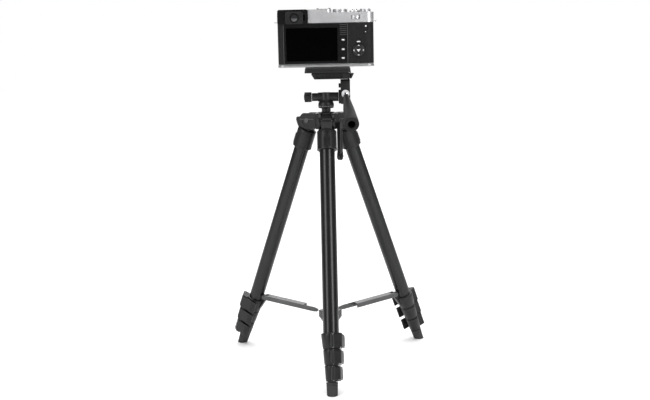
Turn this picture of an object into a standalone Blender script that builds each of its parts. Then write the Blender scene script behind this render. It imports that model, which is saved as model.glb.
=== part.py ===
"""Compact camera on a four-section aluminium tripod with a three-way pan head.

Metres, +Z up. The tripod stands open with its leg sections pushed in, one leg
towards -Y. The camera looks towards +Y, and its monitor faces -Y.
"""

import math

import bmesh
import bpy
from mathutils import Matrix, Vector

OBJECT_NAME = "camera_on_tripod"
GAP = 0.0003          # running gap between neighbouring solids
MERGE = 0.00001       # welding distance of turned profiles

# Legs: azimuth of each one, seen from above, +X = 0
LEGS = {"front": -90.0, "right": 30.0, "left": 150.0}
LEG_ANGLE = math.radians(20.8)       # between an open leg and the vertical
FOOT_CIRCLE = 0.153                  # radius on which the feet stand
PIVOT_ALONG = 0.358                  # leg pivot, measured up the leg from the floor
TUBE_RADII = (0.0102, 0.0086, 0.0071, 0.0056)
TUBE_WALL = 0.0011
TUBE_TOPS = (0.340, 0.306, 0.303, 0.300)
COLLAR_TOPS = (0.0770, 0.0569, 0.0369)
COLLAR_BOTTOM = 0.0165               # underside of the lowest collar
COLLAR_RADII = ((0.0129, 0.0104), (0.0106, 0.0087), (0.0091, 0.0073))
LEVER_REACH_OUT = (0.0212, 0.0198, 0.0184)
LEVER_REACH_SIDE = (0.0173, 0.0156, 0.0139)
LEVER_HEIGHT = 0.0166
LEVER_PIN_SIDE = 0.0018              # the lever pins stand a little off the leg's plane
LEVER_RING_RADIUS = 0.0030
LEVER_EAR_THICK = 0.0012
FOOT_RADII = (0.0076, 0.0067)
FOOT_TOP = 0.0160

# Leg sockets and their shoulder
SOCKET_RADIUS = 0.0130
SOCKET_BOTTOM = 0.3180
SOCKET_TOP = 0.3450
TONGUE_HALF = 0.0069
SHOULDER_BOTTOM = 0.3232
SHOULDER_TOP = 0.3452
SHOULDER_RADIUS = 0.0160
EAR_RADIUS = 0.0112
EAR_THICK = 0.0036
PIVOT_PIN_RADIUS = 0.0024

# Spreader
STRUT_PIVOT_ALONG = 0.0850
STRUT_PIVOT_IN = 0.0150
STRUT_END_RADIUS = 0.0200            # inner end of an open strut, from the tripod's axis
STRUT_END_HEIGHT = 0.0665
STRUT_HALF_WIDTH = 0.0056
STRUT_HALF_HEIGHT = 0.00325
STRUT_SHEET = 0.0016
STRUT_TONGUE = 0.022
STRUT_TIP_TAPER = 0.004
HUB_ARM_RADIUS = 0.0155
HUB_RADIUS = 0.0065
HUB_BOTTOM = 0.0508
HUB_TOP = 0.0543

# Column and crank
COLUMN_RADIUS = 0.0088
COLUMN_BOTTOM = 0.1870
CRANK_AZIMUTH = math.radians(-30.0)

# Head
BASE_TOP = 0.0160                    # above the shoulder
TILT_HEIGHT = 0.3665
PLATFORM_BOTTOM = 0.3905
PLATE_BOTTOM = 0.3988
PLATE_TOP = 0.4064
HANDLE_SLOPE = math.radians(16.6)
HANDLE_YAW = math.radians(2.1)
HANDLE_START = Vector((0.0265, -0.0125, 0.3705))
HANDLE_LENGTH = 0.118

# Camera
CAMERA_X = 0.0013
CAMERA_WIDTH = 0.1288
CAMERA_DEPTH = 0.0350
CAMERA_BOTTOM = PLATE_TOP + GAP
BOTTOM_PLATE_TOP = 0.4105
CASING_TOP = 0.4648
TOP_PLATE_TOP = 0.4782
RAISED_TOP = 0.4826
MONITOR_X = -0.0174
MONITOR_Z = 0.4366
MONITOR_WIDTH = 0.0694
MONITOR_HEIGHT = 0.0446
LUG_Z = 0.4672
LENS_X = -0.0040
LENS_Z = 0.4400
BACK_Y = -CAMERA_DEPTH / 2
FRONT_Y = CAMERA_DEPTH / 2

parts = None
cutters = None
materials = {}


def start_scene():
    """Empty the scene and make one collection for the parts and one for the cutters."""
    global parts, cutters
    for item in list(bpy.data.objects):
        bpy.data.objects.remove(item)
    parts = bpy.data.collections.new(OBJECT_NAME)
    cutters = bpy.data.collections.new("cutters")
    for group in (parts, cutters):
        bpy.context.scene.collection.children.link(group)


def material(name, colour, roughness, metallic=0.0):
    """Make a Principled material once and hand it back by name."""
    if name not in materials:
        made = bpy.data.materials.new(name)
        made.use_nodes = True
        shader = made.node_tree.nodes["Principled BSDF"]
        shader.inputs["Base Color"].default_value = (*colour, 1.0)
        shader.inputs["Roughness"].default_value = roughness
        shader.inputs["Metallic"].default_value = metallic
        materials[name] = made
    return materials[name]


def anodised():
    return material("anodised_tube", (0.030, 0.030, 0.033), 0.35, 0.8)


def moulded():
    return material("black_plastic", (0.022, 0.022, 0.024), 0.5)


def rubber():
    return material("rubber", (0.020, 0.020, 0.021), 0.8)


def dark_metal():
    return material("dark_metal", (0.10, 0.10, 0.105), 0.4, 0.9)


def chrome():
    return material("chrome", (0.75, 0.75, 0.76), 0.15, 1.0)


def silver():
    return material("silver_alloy", (0.62, 0.62, 0.63), 0.4, 0.9)


def leatherette():
    return material("leatherette", (0.030, 0.029, 0.030), 0.7)


def screen_glass():
    return material("screen_glass", (0.004, 0.004, 0.005), 0.08)


def lens_coating():
    return material("lens_glass", (0.02, 0.02, 0.035), 0.03)


def frame_empty(name, location, rotation=(0.0, 0.0, 0.0), parent=None):
    """An empty that carries the pieces built in its axes."""
    holder = bpy.data.objects.new(name, None)
    holder.location = location
    holder.rotation_euler = rotation
    holder.parent = parent
    parts.objects.link(holder)
    return holder


def place(mesh, name, finish, parent=None, location=(0, 0, 0), rotation=(0, 0, 0)):
    """Put a mesh in the scene: as a part when it has a finish, else as a cutter."""
    item = bpy.data.objects.new(name, mesh)
    item.location = location
    item.rotation_euler = rotation
    item.parent = parent
    if finish is None:
        cutters.objects.link(item)
        item.hide_render = True
        item.display_type = "WIRE"
    else:
        parts.objects.link(item)
        mesh.materials.append(finish)
    for face in mesh.polygons:
        face.use_smooth = True
    mesh.set_sharp_from_angle(angle=math.radians(35))
    return item


def block(name, size, finish=None, bevel=0.0, **where):
    """A box of the given size about its own centre."""
    shape = bmesh.new()
    bmesh.ops.create_cube(shape, size=1.0, matrix=Matrix.Diagonal((*size, 1.0)))
    mesh = bpy.data.meshes.new(name)
    shape.to_mesh(mesh)
    shape.free()
    item = place(mesh, name, finish, **where)
    if bevel:
        soften(item, bevel)
    return item


def rod(name, radius, length, finish=None, sides=16, top_radius=None, **where):
    """A cylinder or cone along local Z, from -length/2 to +length/2."""
    shape = bmesh.new()
    bmesh.ops.create_cone(shape, cap_ends=True, segments=sides, radius1=radius,
                          radius2=radius if top_radius is None else top_radius, depth=length)
    mesh = bpy.data.meshes.new(name)
    shape.to_mesh(mesh)
    shape.free()
    return place(mesh, name, finish, **where)


def turned(name, profile, finish=None, sides=20, closed=False, **where):
    """A profile of (radius, height) pairs, outer side first and top to bottom, turned about Z."""
    mesh = bpy.data.meshes.new(name)
    count = len(profile)
    edges = [(k, k + 1) for k in range(count - 1)]
    if closed:
        edges.append((count - 1, 0))
    mesh.from_pydata([(radius, 0.0, height) for radius, height in profile], edges, [])
    item = place(mesh, name, finish, **where)
    screw = item.modifiers.new("turn", "SCREW")
    screw.steps = sides
    screw.render_steps = sides
    screw.use_merge_vertices = True
    screw.merge_threshold = MERGE
    return item


def slab(name, outline, thickness, finish=None, holes=(), bevel=0.0, **where):
    """A flat outline in local XY, extruded by its thickness about the plane."""
    curve = bpy.data.curves.new(name + "_outline", "CURVE")
    curve.dimensions = "2D"
    curve.fill_mode = "BOTH"
    curve.extrude = thickness / 2
    for loop in (outline, *holes):
        spline = curve.splines.new("POLY")
        spline.points.add(len(loop) - 1)
        for point, (x, y) in zip(spline.points, loop):
            point.co = (x, y, 0.0, 1.0)
        spline.use_cyclic_u = True
    drawn = bpy.data.objects.new(name + "_outline", curve)
    bpy.context.scene.collection.objects.link(drawn)
    graph = bpy.context.evaluated_depsgraph_get()
    mesh = bpy.data.meshes.new_from_object(drawn.evaluated_get(graph))
    bpy.data.objects.remove(drawn)
    shape = bmesh.new()
    shape.from_mesh(mesh)
    bmesh.ops.remove_doubles(shape, verts=shape.verts, dist=MERGE)
    bmesh.ops.recalc_face_normals(shape, faces=shape.faces)
    shape.to_mesh(mesh)
    shape.free()
    mesh.name = name
    item = place(mesh, name, finish, **where)
    if bevel:
        soften(item, bevel)
    return item


def soften(item, width, segments=1):
    """Round the piece's sharp edges."""
    bevel = item.modifiers.new("soften", "BEVEL")
    bevel.width = width
    bevel.segments = segments
    bevel.limit_method = "ANGLE"
    bevel.angle_limit = math.radians(40)


def combine(item, other, operation):
    """Cut the other solid from the item, or join it to the item."""
    boolean = item.modifiers.new(operation.lower(), "BOOLEAN")
    boolean.operation = operation
    boolean.solver = "EXACT"
    boolean.object = other
    return item


def cut(item, other):
    return combine(item, other, "DIFFERENCE")


def join(item, other):
    return combine(item, other, "UNION")


def arc(centre, radius, start, end, steps):
    """Points on an arc between two angles in degrees."""
    points = []
    for k in range(steps + 1):
        angle = math.radians(start + (end - start) * k / steps)
        points.append((centre[0] + radius * math.cos(angle), centre[1] + radius * math.sin(angle)))
    return points


def ring(centre, radius, count):
    """A full circle of points."""
    return arc(centre, radius, 0.0, 360.0, count)[:-1]


def rounded_rectangle(x_low, x_high, y_low, y_high, radius, steps=4):
    """The outline of a rectangle with round corners."""
    corners = ((x_high, y_low, -90), (x_high, y_high, 0), (x_low, y_high, 90), (x_low, y_low, 180))
    points = []
    for x, y, start in corners:
        centre = (x - math.copysign(radius, x - (x_low + x_high) / 2),
                  y - math.copysign(radius, y - (y_low + y_high) / 2))
        points += arc(centre, radius, start, start + 90, steps)
    return points


def ribbed_ring(count, inner, outer):
    """A knob's outline with flat-topped ribs."""
    points = []
    for k in range(count):
        for offset, radius in ((0.0, outer), (0.5, outer), (0.5, inner), (1.0, inner)):
            angle = 2 * math.pi * (k + offset) / count
            points.append((radius * math.cos(angle), radius * math.sin(angle)))
    return points


# Rotations that turn a piece's local Z to another axis
ALONG_X = (0.0, math.pi / 2, 0.0)
ALONG_Y = (-math.pi / 2, 0.0, 0.0)
# Local X, Y of a slab become (world X, Z), and its thickness runs along Y
UPRIGHT = (math.pi / 2, 0.0, 0.0)
# Local X, Y of a slab become (world Y, Z), and its thickness runs along X
UPRIGHT_ACROSS = (math.pi / 2, 0.0, math.pi / 2)


def section(name, number, leg):
    """One leg section: a tube with the clamp collar on its lower end, bored for the next tube."""
    tube = TUBE_RADII[number]
    bore = tube - TUBE_WALL
    top, low = COLLAR_RADII[number]
    collar_top = COLLAR_TOPS[number] - (GAP if number else 0.0)
    collar_low = COLLAR_TOPS[number + 1] if number < 2 else COLLAR_BOTTOM
    profile = [(bore, TUBE_TOPS[number]), (tube, TUBE_TOPS[number]), (tube, collar_top),
               (top, collar_top), (low, collar_low), (bore, collar_low)]
    body = turned(name, profile, anodised(), closed=True, parent=leg)
    middle = (collar_top + collar_low) / 2
    pin_out = LEVER_REACH_OUT[number] - LEVER_RING_RADIUS
    flange = [(bore + 0.0008, LEVER_PIN_SIDE - 0.0032)]
    flange += arc((pin_out, LEVER_PIN_SIDE), 0.0032, -90, 90, 6)
    flange.append((bore + 0.0008, LEVER_PIN_SIDE + 0.0032))
    lift = LEVER_HEIGHT / 2 + GAP + LEVER_EAR_THICK / 2
    for side in (-1, 1):
        join(body, slab(f"{name}_flange_{side}", flange, LEVER_EAR_THICK, parent=leg,
                        location=(0, 0, middle + side * lift)))
    join(body, rod(name + "_pin", 0.0011, 2 * lift, sides=10, parent=leg,
                   location=(pin_out, LEVER_PIN_SIDE, middle)))
    return body, middle


def flip_lever(name, number, middle, leg):
    """A clamp lever, hung on its pin outside the collar and hugging one side of it."""
    out = LEVER_REACH_OUT[number]
    side = LEVER_REACH_SIDE[number]
    pin = (out - LEVER_RING_RADIUS, LEVER_PIN_SIDE)
    scale = side / LEVER_REACH_SIDE[0]
    outline = arc(pin, LEVER_RING_RADIUS, 150, 420, 9)
    outline += [(0.0158 * scale, 0.0128 * scale), (0.0138 * scale, 0.0139 * scale), (-0.012, side),
                (-0.012, side - 0.0021), (0.0126 * scale, 0.0117 * scale)]
    shifted = [(x - pin[0], y - pin[1]) for x, y in outline]
    return slab(name, shifted, LEVER_HEIGHT, moulded(), holes=[ring((0, 0), 0.0014, 10)],
                parent=leg, location=(pin[0], pin[1], middle))


def strut_lug(upper, name, leg):
    """The ear on the upper section's inner side that carries the spreader strut."""
    root = 0.0006 - TUBE_RADII[0]
    outline = [(root, 0.0860), (root, 0.0640), (-0.0120, 0.0640), (-0.0178, 0.0835)]
    outline += arc((-STRUT_PIVOT_IN, STRUT_PIVOT_ALONG), 0.0030, 200, 60, 7)
    hole = ring((-STRUT_PIVOT_IN, STRUT_PIVOT_ALONG), 0.0015, 12)
    join(upper, slab(name, outline, 0.0064, holes=[hole], parent=leg, rotation=UPRIGHT))


def leg_socket(name, leg):
    """The moulded socket at a leg's top, with the tongue that turns between the shoulder's ears."""
    profile = [(0.0, SOCKET_TOP), (SOCKET_RADIUS - 0.002, SOCKET_TOP), (SOCKET_RADIUS, SOCKET_TOP - 0.002),
               (SOCKET_RADIUS + 0.0002, SOCKET_BOTTOM), (TUBE_RADII[0] + GAP, SOCKET_BOTTOM),
               (TUBE_RADII[0] + GAP, TUBE_TOPS[0] + GAP), (0.0, TUBE_TOPS[0] + GAP)]
    socket = turned(name, profile, moulded(), sides=24, parent=leg)
    tongue = [(-0.0080, SOCKET_TOP - 0.001), (0.0112, SOCKET_TOP - 0.001), (0.0182, 0.3525),
              (0.0186, 0.3555), (0.0125, 0.3590)]
    tongue += arc((0.0, PIVOT_ALONG), 0.0088, 40, 180, 7)
    hole = ring((0.0, PIVOT_ALONG), PIVOT_PIN_RADIUS + GAP, 14)
    join(socket, slab(name + "_tongue", tongue, 2 * TONGUE_HALF, holes=[hole], parent=leg,
                      rotation=UPRIGHT))
    return socket


def rubber_foot(name, leg, axis):
    """A tapered rubber foot over the innermost tube, cut level where it stands."""
    tube = TUBE_RADII[3]
    seat = 0.0060
    profile = [(tube + GAP, FOOT_TOP), (FOOT_RADII[0], FOOT_TOP), (FOOT_RADII[1], -0.0060),
               (0.0, -0.0060), (0.0, seat), (tube + GAP, seat)]
    foot = turned(name, profile, rubber(), sides=24, closed=True, parent=leg)
    floor = block(name + "_floor", (0.9, 0.9, 0.04), parent=axis, location=(0, 0, -0.02))
    return cut(foot, floor)


def build_leg(side, azimuth, axis):
    """One leg with its sections, levers, foot and spreader strut."""
    turn = math.radians(azimuth)
    start = Vector((FOOT_CIRCLE * math.cos(turn), FOOT_CIRCLE * math.sin(turn), 0.0))
    leg = frame_empty(f"leg_{side}", start, (0.0, -LEG_ANGLE, turn), axis)
    leg_socket(f"leg_socket_{side}", leg)
    for number, label in enumerate(("upper", "middle", "lower")):
        body, middle = section(f"{label}_section_{side}", number, leg)
        if number == 0:
            strut_lug(body, f"strut_lug_{side}", leg)
        flip_lever(f"{label}_lever_{side}", number, middle, leg)
    tube = TUBE_RADII[3]
    profile = [(tube - TUBE_WALL, TUBE_TOPS[3]), (tube, TUBE_TOPS[3]), (tube, 0.0064),
               (tube - TUBE_WALL, 0.0064)]
    turned(f"foot_tube_{side}", profile, anodised(), closed=True, parent=leg)
    rubber_foot(f"rubber_foot_{side}", leg, axis)
    spreader_strut(side, turn, axis)


def strut_pivot():
    """Radius and height of a strut's outer pin on an open leg."""
    sine, cosine = math.sin(LEG_ANGLE), math.cos(LEG_ANGLE)
    radius = FOOT_CIRCLE - STRUT_PIVOT_ALONG * sine - STRUT_PIVOT_IN * cosine
    height = STRUT_PIVOT_ALONG * cosine - STRUT_PIVOT_IN * sine
    return radius, height


def spreader_strut(side, turn, axis):
    """A pressed channel from the leg's lug to the hub. Only one cheek reaches the hub."""
    radius, height = strut_pivot()
    run = radius - STRUT_END_RADIUS
    drop = height - STRUT_END_HEIGHT
    length = math.hypot(run, drop)
    pin = (radius * math.cos(turn), radius * math.sin(turn), height)
    frame = frame_empty(f"strut_frame_{side}", pin, (0.0, math.atan2(drop, run), turn + math.pi), axis)
    half = STRUT_HALF_HEIGHT
    neck = length - STRUT_TONGUE
    taper = length - STRUT_TIP_TAPER
    outline = arc((0.0, 0.0), half, 90, 270, 6) + [(taper, -half)]
    outline += arc((length, 0.0), 0.0020, -80, 80, 5) + [(taper, half)]
    strut = slab(f"strut_{side}", outline, 2 * STRUT_HALF_WIDTH, dark_metal(), parent=frame,
                 rotation=UPRIGHT)
    inside = 2 * (STRUT_HALF_WIDTH - STRUT_SHEET)
    channel = block(f"strut_channel_{side}", (neck + 0.02, inside, 2 * half), parent=frame,
                    location=(neck / 2, 0, -STRUT_SHEET))
    clearance = block(f"strut_mouth_{side}", (0.020, inside, 0.02), parent=frame,
                      location=(-0.0045, 0, 0))
    tongue = block(f"strut_tongue_{side}", (0.06, 2 * STRUT_HALF_WIDTH, 0.02), parent=frame,
                   location=(neck + 0.03, STRUT_SHEET, 0))
    for cutter in (channel, clearance, tongue):
        cut(strut, cutter)
    join(strut, rod(f"strut_pin_{side}", 0.0012, inside + 0.001, sides=12, parent=frame,
                    rotation=ALONG_Y))


def spreader_hub(axis):
    """The low hub under the struts' inner ends, with three upright lugs between the struts."""
    hub = rod("spreader_hub", HUB_RADIUS, HUB_TOP - HUB_BOTTOM, dark_metal(), sides=18, parent=axis,
              location=(0, 0, (HUB_TOP + HUB_BOTTOM) / 2))
    for side, azimuth in LEGS.items():
        turn = math.radians(azimuth + 180.0)
        lug_frame = frame_empty(f"hub_arm_{side}", (0, 0, 0), (0, 0, turn), axis)
        low, high = HUB_BOTTOM + 0.0002, HUB_TOP - 0.0002
        arm = [(0.003, low), (0.0105, low), (HUB_ARM_RADIUS, 0.0600), (HUB_ARM_RADIUS, 0.0692),
               (0.0105, 0.0702), (0.0098, high), (0.003, high)]
        join(hub, slab(f"hub_lug_{side}", arm, 0.0068, parent=lug_frame, rotation=UPRIGHT))
    return hub


def pivot_point():
    """Radius and height of a leg's pivot."""
    return FOOT_CIRCLE - PIVOT_ALONG * math.sin(LEG_ANGLE), PIVOT_ALONG * math.cos(LEG_ANGLE)


def shoulder(axis):
    """The casting that carries the three legs, the column and the crank."""
    radius, height = pivot_point()
    middle = (SHOULDER_TOP + SHOULDER_BOTTOM) / 2
    body = rod("shoulder", SHOULDER_RADIUS, SHOULDER_TOP - SHOULDER_BOTTOM, moulded(), sides=28,
               parent=axis, location=(0, 0, middle))
    for side, azimuth in LEGS.items():
        frame = frame_empty(f"shoulder_{side}", (0, 0, 0), (0, 0, math.radians(azimuth)), axis)
        ear = [(0.0100, SHOULDER_BOTTOM + 0.0005)] + arc((radius, height), EAR_RADIUS, -85, 65, 7)
        ear += [(0.0100, SHOULDER_TOP - 0.0005)]
        for flank in (-1, 1):
            offset = flank * (TONGUE_HALF + GAP + EAR_THICK / 2)
            join(body, slab(f"ear_{side}_{flank}", ear, EAR_THICK, parent=frame,
                            location=(0, offset, 0), rotation=UPRIGHT))
        join(body, rod(f"leg_pin_{side}", PIVOT_PIN_RADIUS, 2 * (TONGUE_HALF + EAR_THICK), sides=14,
                       parent=frame, location=(radius, 0, height), rotation=ALONG_Y))
    crank_boss = frame_empty("crank_boss", (0, 0, 0), (0, 0, CRANK_AZIMUTH), axis)
    join(body, rod("crank_housing", 0.0060, 0.0070, sides=16, parent=crank_boss,
                   location=(0.0125, 0, 0.3300), rotation=ALONG_X))
    bore = rod("column_bore", COLUMN_RADIUS + GAP, 0.2, sides=24, parent=axis, location=(0, 0, middle))
    return cut(body, bore)


def column(axis):
    """The centre column, with the neck that carries the head."""
    profile = [(0.0, SHOULDER_TOP + 0.0058), (0.0062, SHOULDER_TOP + 0.0058),
               (0.0062, SHOULDER_TOP + 0.0012), (0.0115, SHOULDER_TOP + 0.0010),
               (0.0115, SHOULDER_TOP + GAP), (COLUMN_RADIUS, SHOULDER_TOP + GAP),
               (COLUMN_RADIUS, COLUMN_BOTTOM), (COLUMN_RADIUS - 0.0014, COLUMN_BOTTOM),
               (COLUMN_RADIUS - 0.0014, SHOULDER_TOP - 0.002), (0.0, SHOULDER_TOP - 0.002)]
    return turned("column", profile, anodised(), sides=24, parent=axis)


def crank(axis):
    """The folded crank, hanging outside the shoulder between two legs."""
    frame = frame_empty("crank_frame", (0.0205 * math.cos(CRANK_AZIMUTH),
                                        0.0205 * math.sin(CRANK_AZIMUTH), 0.3300),
                        (0, 0, CRANK_AZIMUTH), axis)
    eye, grip, waist = 0.0036, 0.0053, 0.0038
    outline = arc((0, 0), eye, 0, 180, 8) + [(-waist, -0.036)]
    outline += arc((0.0, -0.0440), grip, 150, 390, 10) + [(waist, -0.036)]
    return slab("crank", outline, 0.0048, moulded(), bevel=0.0006, parent=frame,
                rotation=UPRIGHT_ACROSS)


def column_lock(axis):
    """The clamp screw that holds the column, at the back of the shoulder."""
    knob = slab("column_lock_knob", ribbed_ring(10, 0.0064, 0.0071), 0.0080, moulded(), parent=axis,
                location=(0, SHOULDER_RADIUS + 0.0050, 0.3345), rotation=UPRIGHT)
    return knob


def pan_base(axis):
    """The panning body and its tilt axle across the head."""
    low = SHOULDER_TOP + 0.0058 + GAP
    profile = [(0.0, 0.3728), (0.0070, 0.3728), (0.0076, 0.3722), (0.0076, 0.3625), (0.0096, 0.3600),
               (0.0108, 0.3560), (0.0107, 0.3530), (0.0092, low), (0.0, low)]
    body = turned("pan_body", profile, moulded(), sides=24, parent=axis)
    barrel = rod("tilt_barrel", 0.0062, 0.0280, sides=20, parent=axis, location=(0.0030, 0, TILT_HEIGHT),
                 rotation=ALONG_X)
    neck = rod("tilt_neck", 0.0055, 0.0090, sides=16, parent=axis, location=(-0.0147, 0, TILT_HEIGHT),
               rotation=ALONG_X)
    join(body, barrel)
    return join(body, neck)


def tilt_knob(axis):
    """The tilt axle's friction knob, on the left of the head."""
    return slab("tilt_lock_knob", ribbed_ring(12, 0.0061, 0.0068), 0.0095, moulded(), parent=axis,
                location=(-0.0243, 0, TILT_HEIGHT), rotation=ALONG_X)


def tilt_arm(axis):
    """The upright arm that tilts on the barrel and carries the platform."""
    flange = rod("tilt_arm", 0.0094, 0.0032, moulded(), sides=24, parent=axis,
                 location=(0.0189, 0, TILT_HEIGHT), rotation=ALONG_X)
    outline = rounded_rectangle(-0.0088, 0.0088, 0.3565, 0.3898, 0.0030, 3)
    arm = slab("arm_post", outline, 0.0126, parent=axis, location=(0.0265, 0, 0), rotation=UPRIGHT_ACROSS)
    join(flange, arm)
    notch = block("hinge_notch", (0.0060, 0.0086, 0.0060), parent=axis, location=(0.0322, 0, 0.3890))
    cut(flange, notch)
    join(flange, rod("platform_pin", 0.0009, 0.0100, sides=10, parent=axis,
                     location=(0.0313, 0, 0.3880), rotation=ALONG_Y))
    join(flange, rod("handle_boss", 0.0044, 0.0050, sides=18, parent=axis,
                     location=(0.0265, -0.0105, 0.3705), rotation=ALONG_Y))
    return join(flange, rod("flip_screw", 0.0030, 0.0030, sides=12, parent=axis, location=(0.0190, 0, 0.3815),
                            rotation=ALONG_X))


def platform(axis):
    """The tray that flips to portrait about a knuckle on the arm's outer top edge."""
    outline = [(-0.0150, PLATFORM_BOTTOM), (0.0320, PLATFORM_BOTTOM), (0.0320, 0.3945),
               (0.0320, 0.3985), (-0.0190, 0.3985)]
    tray = slab("platform", outline, 0.0360, moulded(), parent=axis, rotation=UPRIGHT)
    join(tray, block("knuckle_web", (0.0016, 0.0078, 0.0030), parent=axis,
                     location=(0.0313, 0, 0.3898)))
    join(tray, rod("knuckle", 0.0018, 0.0078, sides=14, parent=axis, location=(0.0313, 0, 0.3880),
                   rotation=ALONG_Y))
    cut(tray, rod("knuckle_bore", 0.0012, 0.03, sides=12, parent=axis, location=(0.0313, 0, 0.3880),
                  rotation=ALONG_Y))
    return tray


def plate_lever(axis):
    """The quick-release lever along the platform's right edge, on a pin at its far end."""
    eye = 0.0024
    outline = arc((0, 0), eye, 0, 180, 6) + [(-eye, -0.0290), (-0.0003, -0.0308), (0.0037, -0.0280)]
    lever = slab("plate_lever", outline, 0.0070, moulded(), parent=axis, location=(0.0348, 0.0130, 0.3945))
    slant = math.radians(26.6)
    depth = 0.010
    outside = (0.0365 + depth / 2 * math.cos(slant), 0, 0.3945 - depth / 2 * math.sin(slant))
    return cut(lever, block("lever_slant", (depth, 0.08, 0.03), parent=axis, location=outside,
                            rotation=(0, slant, 0)))


def quick_plate(axis):
    """The quick-release plate under the camera."""
    outline = rounded_rectangle(-0.0280, 0.0340, -0.0190, 0.0190, 0.0040, 3)
    return slab("quick_release_plate", outline, PLATE_TOP - PLATE_BOTTOM, moulded(), bevel=0.0008,
                parent=axis, location=(0, 0, (PLATE_TOP + PLATE_BOTTOM) / 2))


def pan_handle(axis):
    """The long pan handle: a threaded rod in the arm and a hollow tapered grip."""
    frame = frame_empty("handle_frame", HANDLE_START, (math.pi / 2 + HANDLE_SLOPE, 0.0, HANDLE_YAW), axis)
    end = HANDLE_LENGTH
    hole = 0.0048
    profile = [(0.0, end - 0.030), (hole, end - 0.030), (hole, end), (0.0082, end), (0.0094, end - 0.0015),
               (0.0094, end - 0.010), (0.0062, 0.0480), (0.0037, 0.0110), (0.0032, 0.0075),
               (0.0032, 0.0030), (0.0, 0.0030)]
    return turned("pan_handle", profile, moulded(), sides=24, parent=frame)


def camera_outline(inset=0.0):
    """The camera's plan: a long rectangle with round ends."""
    half = CAMERA_WIDTH / 2 - inset
    deep = CAMERA_DEPTH / 2 - inset
    return rounded_rectangle(CAMERA_X - half, CAMERA_X + half, -deep, deep, 0.0095 - inset, 5)


def camera_layer(name, low, high, finish, axis, inset=0.0, bevel=0.0):
    """One level slice of the camera's body."""
    return slab(name, camera_outline(inset), high - low, finish, bevel=bevel, parent=axis,
                location=(0, 0, (low + high) / 2))


def build_camera(axis):
    """The camera's shells, controls and lens."""
    camera_layer("camera_bottom_plate", CAMERA_BOTTOM, BOTTOM_PLATE_TOP, silver(), axis, bevel=0.0007)
    casing = camera_layer("camera_casing", BOTTOM_PLATE_TOP + GAP, CASING_TOP - GAP, leatherette(),
                          axis, inset=0.0002)
    cut(casing, block("monitor_recess", (MONITOR_WIDTH + 2 * GAP, 0.0020, MONITOR_HEIGHT + 2 * GAP),
                      parent=axis, location=(MONITOR_X, BACK_Y, MONITOR_Z)))
    block("monitor", (MONITOR_WIDTH, 0.0016, MONITOR_HEIGHT), screen_glass(), parent=axis,
          location=(MONITOR_X, BACK_Y - 0.0001, MONITOR_Z))
    top_shell(axis)
    rear_controls(casing, axis)
    top_controls(axis)
    lens(casing, axis)


def top_shell(axis):
    """The silver top plate, higher over the viewfinder and the shoe than under the dials."""
    plate = camera_layer("camera_top_plate", CASING_TOP, TOP_PLATE_TOP, silver(), axis, bevel=0.0007)
    raised = rounded_rectangle(-0.0610, 0.0095, -0.0168, 0.0168, 0.0060, 3)
    join(plate, slab("raised_top", raised, 0.0060, parent=axis, location=(0, 0, RAISED_TOP - 0.0030)))
    for side in (-1, 1):
        join(plate, rod(f"strap_lug_{side}", 0.0018, 0.0060, sides=12, parent=axis, rotation=ALONG_X,
                        location=(CAMERA_X + side * (CAMERA_WIDTH / 2 + 0.0010), 0, LUG_Z)))
    window = block("viewfinder_recess", (0.0408, 0.0060, 0.03), parent=axis,
                   location=(-0.0421, BACK_Y, 0.4778))
    cut(plate, window)
    finder = rounded_rectangle(-0.0622, -0.0222, 0.4632, 0.4826, 0.0025, 3)
    housing = slab("viewfinder_housing", finder, 0.0056, moulded(), parent=axis,
                   location=(0, BACK_Y - 0.0005, 0), rotation=UPRIGHT)
    cut(housing, block("casing_clear", (0.08, 0.0060, 0.0040), parent=axis,
                       location=(-0.0421, BACK_Y + 0.0030, CASING_TOP - 0.0020)))
    cut(housing, rod("eyepiece_well", 0.0058, 0.0040, sides=20, parent=axis,
                     location=(-0.0400, BACK_Y - 0.0033, 0.4717), rotation=ALONG_Y))
    block("hot_shoe", (0.0186, 0.0180, 0.0016), dark_metal(), bevel=0.0004, parent=axis,
          location=(-0.0008, 0.0, RAISED_TOP + GAP + 0.0008))


def rear_controls(casing, axis):
    """The menu buttons, the drive button and the round control pad on the camera's back."""
    places = {"menu_button_upper": (0.0242, 0.4422), "menu_button_middle": (0.0242, 0.4298),
              "menu_button_lower": (0.0242, 0.4183), "drive_button": (0.0447, 0.4394)}
    for name, (x, z) in places.items():
        cut(casing, rod(name + "_well", 0.0029, 0.0050, sides=16, parent=axis,
                        location=(x, BACK_Y, z), rotation=ALONG_Y))
        rod(name, 0.0026, 0.0028, moulded(), sides=16, parent=axis,
            location=(x, BACK_Y - 0.0002, z), rotation=ALONG_Y)
    pad_at = (0.0447, 0.4281)
    cut(casing, rod("pad_well", 0.0083, 0.0050, sides=28, parent=axis,
                    location=(pad_at[0], BACK_Y, pad_at[1]), rotation=ALONG_Y))
    turned("control_pad", [(0.0, 0.0016), (0.0030, 0.0016), (0.0042, 0.0010), (0.0064, 0.0016),
                           (0.0076, 0.0012), (0.0080, 0.0004), (0.0080, -0.0012), (0.0, -0.0012)],
           moulded(), sides=28, parent=axis, location=(pad_at[0], BACK_Y - 0.0004, pad_at[1]),
           rotation=UPRIGHT)


def dial(name, radius, height, x, y, axis):
    """A knurled dial standing on the lower level of the top plate."""
    return slab(name, ribbed_ring(22, radius - 0.0003, radius), height, silver(), parent=axis,
                location=(x, y, TOP_PLATE_TOP + GAP + height / 2))


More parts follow.
